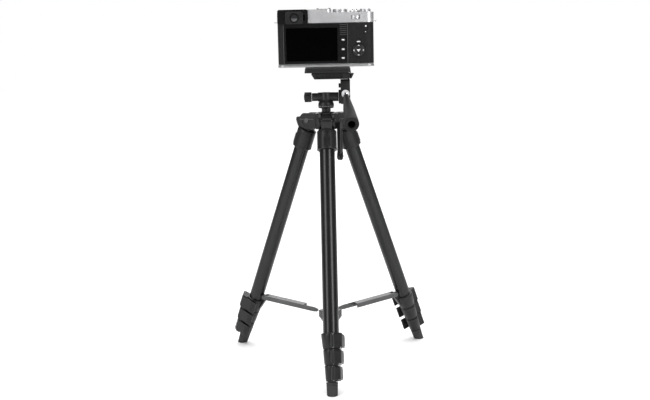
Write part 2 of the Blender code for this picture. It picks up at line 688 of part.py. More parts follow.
def top_controls(axis):
    """The dials and the shutter release on the right of the top plate."""
    dial("shutter_speed_dial", 0.0100, 0.0046, 0.0213, 0.0020, axis)
    dial("exposure_dial", 0.0074, 0.0040, 0.0545, -0.0060, axis)
    shutter_x, shutter_y = 0.0410, 0.0050
    turned("power_collar", [(0.0036, 0.0030), (0.0070, 0.0028), (0.0078, 0.0), (0.0036, 0.0)],
           silver(), closed=True, sides=24, parent=axis,
           location=(shutter_x, shutter_y, TOP_PLATE_TOP + GAP))
    rod("shutter_button", 0.0033, 0.0040, chrome(), sides=20, parent=axis,
        location=(shutter_x, shutter_y, TOP_PLATE_TOP + 0.0012 + 0.0020))


def lens(casing, axis):
    """The fixed lens: barrel, aperture ring and front glass."""
    mount = frame_empty("lens_axis", (LENS_X, FRONT_Y, LENS_Z), ALONG_Y, axis)
    profile = [(0.0150, 0.0190), (0.0185, 0.0190), (0.0190, 0.0180), (0.0190, 0.0110),
               (0.0205, 0.0105), (0.0205, 0.0058), (0.0215, 0.0056), (0.0215, GAP), (0.0150, GAP)]
    turned("lens_barrel", profile, silver(), closed=True, sides=32, parent=mount)
    slab("aperture_ring", ribbed_ring(30, 0.0218, 0.0222), 0.0044, silver(),
         holes=[ring((0, 0), 0.0208, 32)], parent=mount, location=(0, 0, 0.0082))
    turned("lens_glass", [(0.0, 0.0120), (0.0060, 0.0116), (0.0110, 0.0100), (0.0147, 0.0070),
                          (0.0147, 0.0020), (0.0, 0.0020)], lens_coating(), sides=28, parent=mount)


def centre_on_floor(axis):
    """Move the whole model so that its bounding box stands centred on the origin."""
    bpy.context.view_layer.update()
    graph = bpy.context.evaluated_depsgraph_get()
    low = Vector((1.0, 1.0, 1.0))
    high = -low
    for item in parts.objects:
        if item.type != "MESH":
            continue
        solid = item.evaluated_get(graph)
        for vertex in solid.data.vertices:
            point = item.matrix_world @ vertex.co
            low = Vector(map(min, low, point))
            high = Vector(map(max, high, point))
    middle = (low + high) / 2
    axis.location = (-middle.x, -middle.y, -low.z)


def main():
    start_scene()
    axis = frame_empty("tripod_axis", (0, 0, 0))
    shoulder(axis)
    column(axis)
    crank(axis)
    column_lock(axis)
    spreader_hub(axis)
    for side, azimuth in LEGS.items():
        build_leg(side, azimuth, axis)
    pan_base(axis)
    tilt_knob(axis)
    tilt_arm(axis)
    platform(axis)
    plate_lever(axis)
    quick_plate(axis)
    pan_handle(axis)
    build_camera(axis)
    centre_on_floor(axis)


main()
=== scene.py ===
"""Looks of the compact camera on its folding tripod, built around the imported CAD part.

Metres, +Z up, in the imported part's frame. Every piece is placed in the axes of the tripod's
column, of a leg, of the pan handle or of the lens.
"""

from math import atan2, copysign, cos, hypot, pi, radians, sin, tan

import bmesh
import bpy
from mathutils import Matrix, Vector


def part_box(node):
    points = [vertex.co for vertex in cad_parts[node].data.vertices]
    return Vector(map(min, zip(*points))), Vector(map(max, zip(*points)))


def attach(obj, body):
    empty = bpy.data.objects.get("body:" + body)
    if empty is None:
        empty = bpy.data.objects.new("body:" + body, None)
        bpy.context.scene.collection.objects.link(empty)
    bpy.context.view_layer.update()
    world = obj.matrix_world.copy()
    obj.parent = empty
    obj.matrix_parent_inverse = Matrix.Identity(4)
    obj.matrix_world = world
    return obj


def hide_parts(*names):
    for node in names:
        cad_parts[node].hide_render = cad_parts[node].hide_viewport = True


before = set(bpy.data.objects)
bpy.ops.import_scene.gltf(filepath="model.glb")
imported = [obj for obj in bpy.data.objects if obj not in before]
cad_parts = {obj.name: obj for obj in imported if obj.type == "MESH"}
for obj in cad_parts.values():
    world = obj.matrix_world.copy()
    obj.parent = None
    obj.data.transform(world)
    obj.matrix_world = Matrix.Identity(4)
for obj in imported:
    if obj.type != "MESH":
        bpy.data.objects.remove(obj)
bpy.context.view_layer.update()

WHITE = (1.0, 1.0, 1.0, 1.0)
GAP = 0.0003
SHARP_ANGLE = radians(32)
BEVEL_ANGLE = radians(38)
LEGS = {"front": -90.0, "right": 30.0, "left": 150.0}
LEG_ANGLE = radians(20.8)
FOOT_CIRCLE = 0.153
PIVOT_ALONG = 0.358
TUBE_RADII = (0.0102, 0.0086, 0.0071, 0.0056)
TUBE_WALL = 0.0011
TUBE_TOPS = (0.34, 0.306, 0.303, 0.3)
COLLAR_TOPS = (0.077, 0.0569, 0.0369)
COLLAR_BOTTOM = 0.0165
COLLAR_RADII = ((0.0129, 0.0104), (0.0106, 0.0087), (0.0091, 0.0073))
LEVER_REACH_OUT = (0.0212, 0.0198, 0.0184)
LEVER_REACH_SIDE = (0.0173, 0.0156, 0.0139)
LEVER_HEIGHT = 0.0166
LEVER_PIN_SIDE = 0.0018
LEVER_RING = 0.003
SOCKET_RADIUS = 0.013
SOCKET_BOTTOM = 0.318
SOCKET_TOP = 0.345
TONGUE_HALF = 0.0069
SHOULDER_BOTTOM = 0.3232
SHOULDER_TOP = 0.3452
SHOULDER_RADIUS = 0.016
EAR_RADIUS = 0.0112
EAR_THICK = 0.0036
LUG_OUT = 0.015
LUG_ALONG = 0.085
HUB_PIN_OUT = 0.02
HUB_PIN_HEIGHT = 0.0665
HUB_BOTTOM = 0.0508
HUB_TOP = 0.0543
COLUMN_RADIUS = 0.0088
COLUMN_BOTTOM = 0.187
CRANK_AZIMUTH = radians(-30.0)
CRANK_HEIGHT = 0.33
LOCK_HEIGHT = 0.3345
TILT_HEIGHT = 0.3665
ARM_X = 0.0265
HINGE_X = 0.0313
HINGE_HEIGHT = 0.388
RELEASE_HEIGHT = 0.3945
PLATFORM_BOTTOM = 0.3905
PLATE_BOTTOM = 0.3988
PLATE_TOP = 0.4064
HANDLE_SLOPE = radians(16.6)
HANDLE_YAW = radians(2.1)
HANDLE_START = (ARM_X, -0.0125, 0.3705)
HANDLE_LENGTH = 0.118
CAMERA_X = 0.0013
CAMERA_WIDTH = 0.1288
CAMERA_DEPTH = 0.035
CAMERA_BOTTOM = PLATE_TOP + GAP
BOTTOM_PLATE_TOP = 0.4105
CASING_TOP = 0.4648
TOP_PLATE_TOP = 0.4782
RAISED_TOP = 0.4826
MONITOR_X = -0.0174
MONITOR_Z = 0.4366
MENU_X = 0.0242
MENU_HEIGHTS = (0.4422, 0.4298, 0.4183)
PAD_X = 0.0447
PAD_Z = 0.4281
DRIVE_Z = 0.4394
BUTTON_RADIUS = 0.0026
WHEEL_X = 0.0414
WHEEL_Z = 0.4716
EYE_X = -0.04
EYE_Z = 0.4717
SHOE_X = -0.0008
LENS_X = -0.004
LENS_Z = 0.44
RING_ALONG = 0.0082
FINDER_X = -0.044
WINDOW_Z = 0.4735
SELECTOR_X = -0.046
SELECTOR_Z = 0.454
BACK_Y = -CAMERA_DEPTH / 2
FRONT_Y = CAMERA_DEPTH / 2


def move(x, y, z):
    return Matrix.Translation((x, y, z))


def spin(angle, axis):
    return Matrix.Rotation(angle, 4, axis)


column_low, column_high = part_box("column")
middle = (column_low + column_high) / 2
AXIS = move(middle.x, middle.y, 0.0)
ALONG_X = spin(pi / 2, "Y")
ALONG_Y = spin(-pi / 2, "X")
UPRIGHT = spin(pi / 2, "X")
UPRIGHT_ACROSS = spin(pi / 2, "Z") @ UPRIGHT


def at(x, y, z, turn=None):
    """Axes at a point beside the tripod's own axis, turned if asked."""
    place = AXIS @ move(x, y, z)
    return place @ turn if turn else place


# ---- finishes

finishes = {}


def add_node(tree, kind, **values):
    node = tree.nodes.new(kind)
    for key, value in values.items():
        if hasattr(node, key):
            setattr(node, key, value)
        else:
            node.inputs[key.replace("_", " ")].default_value = value
    return node


def noise(tree, coordinates, scale, detail=3.0, stretch=None):
    """A noise texture on the piece's own coordinates, stretched if asked."""
    if stretch:
        mapping = add_node(tree, "ShaderNodeMapping")
        mapping.inputs["Scale"].default_value = stretch
        tree.links.new(coordinates, mapping.inputs["Vector"])
        coordinates = mapping.outputs["Vector"]
    node = add_node(tree, "ShaderNodeTexNoise", Scale=scale, Detail=detail, Roughness=0.6)
    tree.links.new(coordinates, node.inputs["Vector"])
    return node.outputs["Fac"]


def between(tree, factor, low, high):
    """The factor's middle half spread over low to high."""
    node = add_node(tree, "ShaderNodeMapRange")
    for socket, value in (("From Min", 0.25), ("From Max", 0.75), ("To Min", low), ("To Max", high)):
        node.inputs[socket].default_value = value
    tree.links.new(factor, node.inputs["Value"])
    return node.outputs["Result"]


def tint(tree, factor, dark, light):
    """A colour between two, by the factor."""
    node = add_node(tree, "ShaderNodeMix", data_type="RGBA")
    tree.links.new(between(tree, factor, 0.0, 1.0), node.inputs[0])
    node.inputs[6].default_value = (*dark, 1.0)
    node.inputs[7].default_value = (*light, 1.0)
    return node.outputs[2]


def finish(key, slot, dark, light, rough, metallic=0.0, cloud=60.0, grain=2600.0, depth=0.00003,
        stretch=None, pebble=None, specular=0.5, coat=0.0, coat_tint=WHITE):
    """A procedural material: cloudy colour and roughness over a fine grain in relief."""
    made = bpy.data.materials.new(key)
    made.use_nodes = True
    tree = made.node_tree
    shader = tree.nodes["Principled BSDF"]
    sockets = {"Metallic": metallic, "Specular IOR Level": specular, "Coat Weight": coat,
        "Coat Tint": coat_tint}
    for name, value in sockets.items():
        shader.inputs[name].default_value = value
    where = add_node(tree, "ShaderNodeTexCoord").outputs["Object"]
    clouds = noise(tree, where, cloud)
    tree.links.new(tint(tree, clouds, dark, light), shader.inputs["Base Color"])
    smudges = noise(tree, where, cloud * 2.7, 4.0, stretch)
    tree.links.new(between(tree, smudges, *rough), shader.inputs["Roughness"])
    relief = noise(tree, where, grain, 2.0, stretch)
    if pebble:
        cells = add_node(tree, "ShaderNodeTexVoronoi", feature="SMOOTH_F1", Scale=pebble)
        tree.links.new(where, cells.inputs["Vector"])
        mixed = add_node(tree, "ShaderNodeMath", operation="MULTIPLY_ADD")
        tree.links.new(cells.outputs["Distance"], mixed.inputs[0])
        mixed.inputs[1].default_value = -1.0
        tree.links.new(relief, mixed.inputs[2])
        relief = mixed.outputs[0]
    bump = add_node(tree, "ShaderNodeBump", Strength=1.0, Distance=depth)
    tree.links.new(relief, bump.inputs["Height"])
    tree.links.new(bump.outputs["Normal"], shader.inputs["Normal"])
    finishes[key] = (made, slot)


finish("anodised", "anodised_tube", (0.005, 0.005, 0.0055), (0.008, 0.008, 0.0085), (0.24, 0.32),
    cloud=40.0, grain=2400.0, depth=0.00001, stretch=(1.0, 1.0, 0.02), specular=0.36)
finish("plastic", "black_plastic", (0.006, 0.006, 0.0063), (0.01, 0.01, 0.0105), (0.34, 0.46), grain=2800.0,
    depth=0.00004, specular=0.32)
finish("satin_plastic", "black_plastic", (0.003, 0.003, 0.0032), (0.0045, 0.0045, 0.0048), (0.26, 0.36),
    grain=4200.0, depth=0.00001, specular=0.18)
finish("grip_plastic", "black_plastic", (0.005, 0.005, 0.0053), (0.008, 0.008, 0.0084), (0.58, 0.68),
    grain=2800.0, specular=0.22)
finish("rubber", "rubber", (0.018, 0.018, 0.018), (0.028, 0.028, 0.028), (0.62, 0.8), grain=1800.0,
    depth=0.00008)
finish("painted_steel", "dark_metal", (0.06, 0.06, 0.062), (0.09, 0.09, 0.092), (0.34, 0.46), 0.45,
    grain=1400.0, depth=0.00004)
finish("nickel", "chrome", (0.62, 0.62, 0.63), (0.74, 0.74, 0.75), (0.26, 0.36), 0.35, cloud=200.0,
    depth=0.00001)
# A darker copy of the silver alloy for the camera's base plate: painted shade on the lower plate of the
# body.
finish("painted_shade_silver", "silver_alloy", (0.3, 0.3, 0.305), (0.36, 0.36, 0.365), (0.34, 0.46), 0.9, cloud=90.0,
    grain=5200.0)
finish("bright_steel", "chrome", (0.52, 0.52, 0.53), (0.7, 0.7, 0.71), (0.16, 0.3), 1.0, cloud=200.0,
    depth=0.00001)
finish("silver", "silver_alloy", (0.5, 0.5, 0.51), (0.6, 0.6, 0.61), (0.34, 0.46), 0.9, cloud=90.0,
    grain=5200.0)
finish("leatherette", "leatherette", (0.004, 0.004, 0.004), (0.008, 0.008, 0.008), (0.4, 0.54), cloud=120.0,
    grain=2400.0, depth=0.00022, pebble=880.0, specular=0.18)
finish("screen", "screen_glass", (0.0004, 0.0004, 0.0005), (0.0007, 0.0007, 0.0008), (0.1, 0.16),
    grain=300.0, depth=0.000001, specular=0.04)
finish("coated_glass", "lens_glass", (0.01, 0.012, 0.03), (0.022, 0.016, 0.04), (0.02, 0.05), cloud=40.0,
    grain=200.0, depth=0.000001, coat=1.0, coat_tint=(0.7, 0.8, 1.0, 1.0))
finish("clear_glass", "lens_glass", (0.012, 0.013, 0.015), (0.022, 0.023, 0.025), (0.04, 0.08), grain=300.0,
    depth=0.000001, coat=1.0)
finish("white_mark", "black_plastic", (0.55, 0.55, 0.55), (0.66, 0.66, 0.66), (0.45, 0.55))
finish("black_mark", "black_plastic", (0.012, 0.012, 0.012), (0.02, 0.02, 0.02), (0.45, 0.6))
finish("red_mark", "black_plastic", (0.22, 0.03, 0.02), (0.3, 0.05, 0.03), (0.4, 0.5))


# ---- shapes


def link(item):
    bpy.context.scene.collection.objects.link(item)


def piece(name, mesh, body, look, where):
    """Put a mesh in the scene on its body, or as a cutting tool where it has no body."""
    item = bpy.data.objects.new(name, mesh)
    link(item)
    item.matrix_world = where
    for face in mesh.polygons:
        face.use_smooth = True
    mesh.set_sharp_from_angle(angle=SHARP_ANGLE)
    if body:
        made, slot = finishes[look]
        mesh.materials.clear()
        mesh.materials.append(made)
        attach(item, body)
    return item


def soften(item, width, segments=2):
    """Round the sharp edges so that they catch the light."""
    bevel = item.modifiers.new("soften", "BEVEL")
    bevel.width = width
    bevel.segments = segments
    bevel.limit_method = "ANGLE"
    bevel.angle_limit = BEVEL_ANGLE
    bevel.harden_normals = True
    return item


def shaped(name, shape, body, look, where, bevel, segments=2):
    """The piece made of a finished shape, softened if asked."""
    bmesh.ops.recalc_face_normals(shape, faces=shape.faces)
    mesh = bpy.data.meshes.new(name)
    shape.to_mesh(mesh)
    shape.free()
    item = piece(name, mesh, body, look, where)
    return soften(item, bevel, segments) if bevel else item


def lathe(name, profile, body=None, look=None, where=AXIS, sides=64, closed=False, bevel=0.0):
    """A profile of (radius, height), outer side first and top to bottom, turned about local Z."""
    shape = bmesh.new()
    rings = []
    turns = [2 * pi * k / sides for k in range(sides)]
    for radius, height in profile:
        if radius < 1e-7:
            rings.append([shape.verts.new((0.0, 0.0, height))])
            continue
        rings.append([shape.verts.new((radius * cos(a), radius * sin(a), height)) for a in turns])
    pairs = list(zip(rings, rings[1:]))
    if closed:
        pairs.append((rings[-1], rings[0]))
    for upper, lower in pairs:
        for k in range(sides):
            corners = [upper[k % len(upper)], lower[k % len(lower)], lower[(k + 1) % len(lower)],
                upper[(k + 1) % len(upper)]]
            corners = list(dict.fromkeys(corners))
            if len(corners) > 2:
                shape.faces.new(corners)
    return shaped(name, shape, body, look, where, bevel)


def solid(name, profile, *options, **named):
    """A turned piece whose profile is closed onto the axis at both ends."""
    return lathe(name, [(0.0, profile[0][1])] + profile + [(0.0, profile[-1][1])], *options, **named)


def prism(name, outline, thickness, body=None, look=None, where=AXIS, bevel=0.0, segments=2):
    """A flat outline in local XY with its thickness about the plane."""
    shape = bmesh.new()
    levels = [[shape.verts.new((x, y, side * thickness / 2)) for x, y in outline] for side in (-1, 1)]
    shape.faces.new(levels[0][::-1])
    shape.faces.new(levels[1])
    count = len(outline)
    for k in range(count):
        after = (k + 1) % count
        shape.faces.new((levels[0][k], levels[0][after], levels[1][after], levels[1][k]))
    return shaped(name, shape, body, look, where, bevel, segments)


def rod(name, radius, length, body=None, look=None, where=AXIS, sides=48, bevel=0.0):
    """A round bar along local Z, about its own middle."""
    half = length / 2
    return solid(name, [(radius, half), (radius, -half)], body, look, where, sides, bevel=bevel)


def block(name, size, body=None, look=None, where=AXIS, bevel=0.0, segments=2):
    """A box about its own middle."""
    x, y = size[0] / 2, size[1] / 2
    return prism(name, [(-x, -y), (x, -y), (x, y), (-x, y)], size[2], body, look, where, bevel, segments)


def carve(item, *tools, operation="DIFFERENCE"):
    """Cut the tools from the item, or join them to it, and remove them."""
    edges = [(m.width, m.segments) for m in item.modifiers if m.type == "BEVEL"]
    item.modifiers.clear()
    for tool in tools:
        boolean = item.modifiers.new("carve", "BOOLEAN")
        boolean.operation = operation
        boolean.solver = "EXACT"
        boolean.object = tool
    bpy.context.view_layer.update()
    graph = bpy.context.evaluated_depsgraph_get()
    mesh = bpy.data.meshes.new_from_object(item.evaluated_get(graph))
    item.modifiers.clear()
    item.data = mesh
    mesh.set_sharp_from_angle(angle=SHARP_ANGLE)
    for tool in tools:
        bpy.data.objects.remove(tool)
    for width, segments in edges:
        soften(item, width, segments)


def arc(centre, radius, start, end, steps):
    """Points on an arc between two angles in degrees."""
    points = []
    for k in range(steps + 1):
        angle = radians(start + (end - start) * k / steps)
        points.append((centre[0] + radius * cos(angle), centre[1] + radius * sin(angle)))
    return points


def rounded(left, right, low, high, radius, steps=8):
    """The outline of a rectangle with round corners."""
    corners = ((right, low, -90), (right, high, 0), (left, high, 90), (left, low, 180))
    points = []
    for x, y, start in corners:
        inward_x = copysign(radius, x - (left + right) / 2)
        inward_y = copysign(radius, y - (low + high) / 2)
        points += arc((x - inward_x, y - inward_y), radius, start, start + 90, steps)
    return points


def oblong(x, y, radius, steps=8):
    """A rounded rectangle about its own middle, from its half sides."""
    return rounded(-x, x, -y, y, radius, steps)


def ribbed(count, inner, outer, share=0.5, soft=0.12):
    """A knurled or ribbed outline with flat-topped ribs."""
    points = []
    for k in range(count):
        steps = ((0.0, outer), (share, outer), (share + soft, inner), (1.0 - soft, inner))
        for offset, radius in steps:
            angle = 2 * pi * (k + offset) / count
            points.append((radius * cos(angle), radius * sin(angle)))
    return points


def scallops(count, inner, outer, steps=8):
    """A knob's outline with round lobes."""
    points = []
    total = count * steps
    for k in range(total):
        angle = 2 * pi * k / total
        radius = inner + (outer - inner) * abs(cos(count * angle / 2)) ** 0.7
        points.append((radius * cos(angle), radius * sin(angle)))
    return points


def screw_head(name, radius, height, body, where, look="painted_steel"):
    """A round screw head with a crossed recess."""
    head = lathe(name, [(0.0, height), (radius * 0.75, height), (radius, height * 0.45), (radius, 0.0),
        (0.0, 0.0)], body, look, where, 32)
    slot = radius * 0.36
    up = where @ move(0, 0, height)
    long = radius * 1.2
    sizes = ((long, slot, height), (slot, long, height))
    carve(head, *[block("slot", size, where=up) for size in sizes])


# ---- legs


def collar(side, number, label, leg):
    """The clamp collar on a section's lower end, with its ears, pin and lever."""
    body = f"leg_{label}_{side}"
    bore = TUBE_RADII[number] - TUBE_WALL
    top, low = COLLAR_RADII[number]
    high = COLLAR_TOPS[number] - (GAP if number else 0)
    base = COLLAR_TOPS[number + 1] if number < 2 else COLLAR_BOTTOM
    profile = [(bore, high), (top - 0.001, high), (top - 0.0002, high - 0.0004), (top, high - 0.0012),
        (top - 0.0002, high - 0.0042), (low + 0.0009, base + 0.003), (low + 0.0005, base + 0.0022),
        (low + 0.0006, base + 0.0008), (low, base + 0.0002), (low - 0.0003, base), (bore, base)]
    lathe(f"{label}_collar_{side}", profile, body, "plastic", leg, closed=True)
    pin = px, py = LEVER_REACH_OUT[number] - LEVER_RING, LEVER_PIN_SIDE
    halfway = (high + base) / 2
    on_pin = leg @ move(px, py, halfway)
    root = bore + 0.0008
    scale = LEVER_REACH_SIDE[number] / LEVER_REACH_SIDE[0]
    ear = [(root, py - 0.0032)] + arc(pin, 0.0032, -90, 50, 12)
    ear += [(0.016 * scale, 0.0102 * scale), (0.0136 * scale, 0.0132 * scale),
        (0.0062 * scale, 0.0142 * scale), (root, py + 0.0032)]
    thick = 0.0012
    lift = LEVER_HEIGHT / 2 + GAP + thick / 2
    for name, way in (("low", -1), ("high", 1)):
        prism(f"{label}_ear_{name}_{side}", ear, thick, body, "plastic",
            leg @ move(0, 0, halfway + way * lift), 0.0004)
        turned = leg @ move(px, py, halfway + way * (lift + thick / 2 - 0.0004))
        if way < 0:
            turned = turned @ spin(pi, "X")
        screw_head(f"{label}_screw_{name}_{side}", 0.0018, 0.0006, body, turned)
    bridge = [(root, py - 0.0032), (px - 0.0018, py - 0.0032), (px - 0.003, py - 0.0022),
        (bore + 0.0016, py - 0.0022)]
    prism(f"{label}_bridge_{side}", bridge, 2 * lift - 0.0008, body, "plastic", leg @ move(0, 0, halfway),
        0.0002)
    solid(f"{label}_pin_{side}", [(0.0011, lift), (0.0011, -lift)], body, "bright_steel", on_pin, 24)
    lever(side, number, label, pin, on_pin)


def lever(side, number, label, pin, where):
    """A moulded flip lever: an eye on the pin, a shoulder, and a flat grip along the leg's side."""
    px, py = pin
    reach = LEVER_REACH_SIDE[number]
    scale = reach / LEVER_REACH_SIDE[0]
    outline = arc(pin, LEVER_RING, 150, 420, 20)
    outline += [(0.0166 * scale, 0.0121 * scale), (0.0158 * scale, 0.013 * scale),
        (0.0138 * scale, 0.014 * scale), (-0.0116, reach), (-0.012, reach - 0.0006),
        (-0.0119, reach - 0.002), (0.0126 * scale, 0.0116 * scale)]
    body = f"{label}_lever_{side}"
    shifted = [(x - px, y - py) for x, y in outline]
    arm = prism(body + "_arm", shifted, LEVER_HEIGHT, body, "plastic", where, 0.0006, 3)
    carve(arm, rod("eye", 0.0014, 0.03, where=where, sides=24))
    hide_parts(body)
    slope = atan2(reach - 0.014 * scale, -0.0116 - 0.0138 * scale)
    for k in range(4):
        along = -0.0104 + 0.002 * k
        rise = reach + (along + 0.0116) * tan(slope)
        block(f"{body}_rib_{k}", (0.0007, 0.0006, LEVER_HEIGHT * 0.72), body, "plastic",
            where @ move(along - px, rise - py, 0) @ spin(slope, "Z"), 0.0002)


def leg_socket(side, leg):
    """The moulded knuckle on a leg's top, with its groove, its raised panel and its tongue."""
    body = f"leg_upper_{side}"
    high, low, wide = SOCKET_TOP, SOCKET_BOTTOM, SOCKET_RADIUS
    tube = TUBE_RADII[0]
    profile = [(wide - 0.0016, high), (wide - 0.0006, high - 0.0005), (wide, high - 0.0016),
        (wide - 0.0001, high - 0.004), (wide - 0.0004, high - 0.0042), (wide - 0.0004, high - 0.0048),
        (wide - 0.0001, high - 0.005), (wide + 0.0001, low + 0.0024), (wide + 0.0003, low + 0.0022),
        (wide + 0.0003, low + 0.0005), (wide - 0.0002, low), (tube + GAP, low),
        (tube + GAP, TUBE_TOPS[0] + GAP)]
    socket = solid(f"socket_shell_{side}", profile, body, "plastic", leg)
    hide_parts(f"leg_socket_{side}")
    tongue = [(-0.008, high - 0.001), (0.0112, high - 0.001), (0.0172, 0.3508), (0.0182, 0.3525),
        (0.0186, 0.3555), (0.0178, 0.3566), (0.0125, 0.359)]
    tongue += arc((0, PIVOT_ALONG), 0.0088, 40, 180, 18)
    knuckle = prism(f"socket_tongue_{side}", tongue, 2 * TONGUE_HALF, body, "plastic", leg @ UPRIGHT,
        0.0011, 3)
    carve(knuckle, rod("hole", 0.0027, 0.03, where=leg @ move(0, 0, PIVOT_ALONG) @ UPRIGHT, sides=32))
    for way in (-1, 1):
        block(f"socket_rib_{'a' if way < 0 else 'b'}_{side}", (0.0012, 0.001, 0.0145), body, "plastic",
            leg @ move(wide - 0.0002, way * 0.0042, 0.3275), 0.0003)
    label = [(-0.0036, -0.0052), (0.0036, -0.0052), (0.0045, 0.0052), (-0.0045, 0.0052)]
    prism(f"socket_panel_{side}", label, 0.0012, body, "plastic",
        leg @ move(wide - 0.0002, 0, 0.3278) @ UPRIGHT_ACROSS, 0.0003)


def strut_lug(side, leg):
    """The bracket on the upper section that carries the spreader strut."""
    body = f"leg_upper_{side}"
    lug = [(-0.0096, 0.086), (-0.0096, 0.064), (-0.012, 0.064), (-0.0178, 0.0835)]
    lug += arc((-LUG_OUT, LUG_ALONG), 0.003, 200, 60, 14)
    eye = leg @ move(-LUG_OUT, 0, LUG_ALONG) @ UPRIGHT
    bracket = prism(f"strut_lug_{side}", lug, 0.0064, body, "plastic", leg @ UPRIGHT, 0.0004)
    carve(bracket, rod("hole", 0.0015, 0.02, where=eye, sides=24))


def rubber_foot(side, leg):
    """A ribbed rubber foot, cut level where it stands."""
    body = f"leg_foot_{side}"
    tube = TUBE_RADII[3]
    profile = [(tube + GAP, 0.016), (0.007, 0.016), (0.0076, 0.0154), (0.0076, 0.0136), (0.0071, 0.0132),
        (0.0071, 0.0122), (0.0075, 0.0118), (0.0074, 0.0104), (0.007, 0.01), (0.007, 0.009),
        (0.0073, 0.0086), (0.0071, 0.0064), (0.0067, -0.006), (0, -0.006), (0, 0.006), (tube + GAP, 0.006)]
    foot = lathe(f"foot_pad_{side}", profile, body, "rubber", leg, closed=True)
    carve(foot, block("floor_cut", (0.9, 0.9, 0.04), where=AXIS @ move(0, 0, -0.02)))
    soften(foot, 0.0004, 3)
    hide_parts(f"rubber_foot_{side}")


def build_leg(side, azimuth):
    turn = radians(azimuth)
    start = move(FOOT_CIRCLE * cos(turn), FOOT_CIRCLE * sin(turn), 0)
    leg = AXIS @ start @ spin(turn, "Z") @ spin(-LEG_ANGLE, "Y")
    for number, label in enumerate(("upper", "middle", "lower")):
        tube, bore = TUBE_RADII[number], TUBE_RADII[number] - TUBE_WALL
        top, low = TUBE_TOPS[number], COLLAR_TOPS[number] - 0.001
        profile = [(bore, top), (tube, top), (tube, low), (bore, low)]
        pipe = lathe(f"{label}_tube_{side}", profile, f"leg_{label}_{side}", "anodised", leg, closed=True)
        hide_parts(f"{label}_section_{side}")
        collar(side, number, label, leg)
    tube = TUBE_RADII[3]
    top, low = TUBE_TOPS[3], 0.0064
    profile = [(tube - TUBE_WALL, top), (tube, top), (tube, low), (tube - TUBE_WALL, low)]
    last = lathe(f"inner_tube_{side}", profile, f"leg_foot_{side}", "anodised", leg, closed=True)
    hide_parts(f"foot_tube_{side}")
    leg_socket(side, leg)
    strut_lug(side, leg)
    rubber_foot(side, leg)
    build_strut(side, turn)


def build_strut(side, turn):
    """A pressed steel channel with a flat tongue, pinned to the leg's lug and to the hub."""
    body = f"strut_{side}"
    sine, cosine = sin(LEG_ANGLE), cos(LEG_ANGLE)
    outer = Vector((FOOT_CIRCLE - LUG_ALONG * sine - LUG_OUT * cosine, LUG_ALONG * cosine - LUG_OUT * sine))
    run, drop = outer.x - HUB_PIN_OUT, outer.y - HUB_PIN_HEIGHT
    length = hypot(run, drop)
    pin = move(outer.x * cos(turn), outer.x * sin(turn), outer.y)
    along = AXIS @ pin @ spin(turn + pi, "Z") @ spin(atan2(drop, run), "Y")
    half, wide, sheet = 0.00325, 0.0056, 0.0016
    neck = length - 0.022
    outline = arc((0, 0), half, 90, 270, 16) + [(length - 0.004, -half)]
    outline += arc((length + 0.0008, 0), 0.0024, -80, 80, 12) + [(length - 0.004, half)]
    strut = prism(body + "_channel", outline, 2 * wide, body, "painted_steel", along @ UPRIGHT, 0.00035)
    inside = 2 * (wide - sheet)
    channel = block("channel", (neck + 0.02, inside, 2 * half), where=along @ move(neck / 2, 0, -sheet))
    mouth = block("mouth", (0.02, inside, 0.02), where=along @ move(-0.0045, 0, 0))
    tongue = block("tongue", (0.06, 2 * wide, 0.02), where=along @ move(neck + 0.03, sheet, 0))
    carve(strut, channel, mouth, tongue)
    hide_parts(body)
    rod(body + "_pin", 0.0012, inside + 0.001, body, "bright_steel", along @ ALONG_Y, 24)
    for name, way in (("a", 1), ("b", -1)):
        outward = along @ move(0, way * wide, 0) @ spin(-way * pi / 2, "X")
        lathe(f"{body}_rivet_{name}", [(0, 0.0007), (0.001, 0.0006), (0.0018, 0.0002), (0.0019, 0), (0, 0)],
            body, "painted_steel", outward, 32)
    tip = along @ move(length - 0.0004, -wide, 0) @ spin(pi / 2, "X")
    lathe(body + "_tip_rivet", [(0, 0.0005), (0.0008, 0.0004), (0.0013, 0.0001), (0.0014, 0), (0, 0)], body,
        "painted_steel", tip, 32)


def build_hub():
    """The low spreader hub with its upright lugs and its centre screw."""
    profile = [(0.006, HUB_TOP), (0.0065, 0.0538), (0.0065, 0.0513), (0.006, HUB_BOTTOM)]
    hub = solid("hub_disc", profile, "spreader_hub", "painted_steel")
    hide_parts("spreader_hub")
    for side, azimuth in LEGS.items():
        turn = spin(radians(azimuth + 180.0), "Z")
        lug = [(0.003, 0.051), (0.0105, 0.051), (0.0168, 0.06), (0.0168, 0.069), (0.0162, 0.0696),
            (0.0112, 0.0702), (0.0105, 0.0698), (0.0098, 0.0541), (0.003, 0.0541)]
        prism(f"hub_lug_{side}", lug, 0.0068, "spreader_hub", "painted_steel", AXIS @ turn @ UPRIGHT, 0.0004)
    screw_head("hub_screw", 0.003, 0.001, "spreader_hub", at(0, 0, HUB_TOP), "bright_steel")


# ---- shoulder, column and head


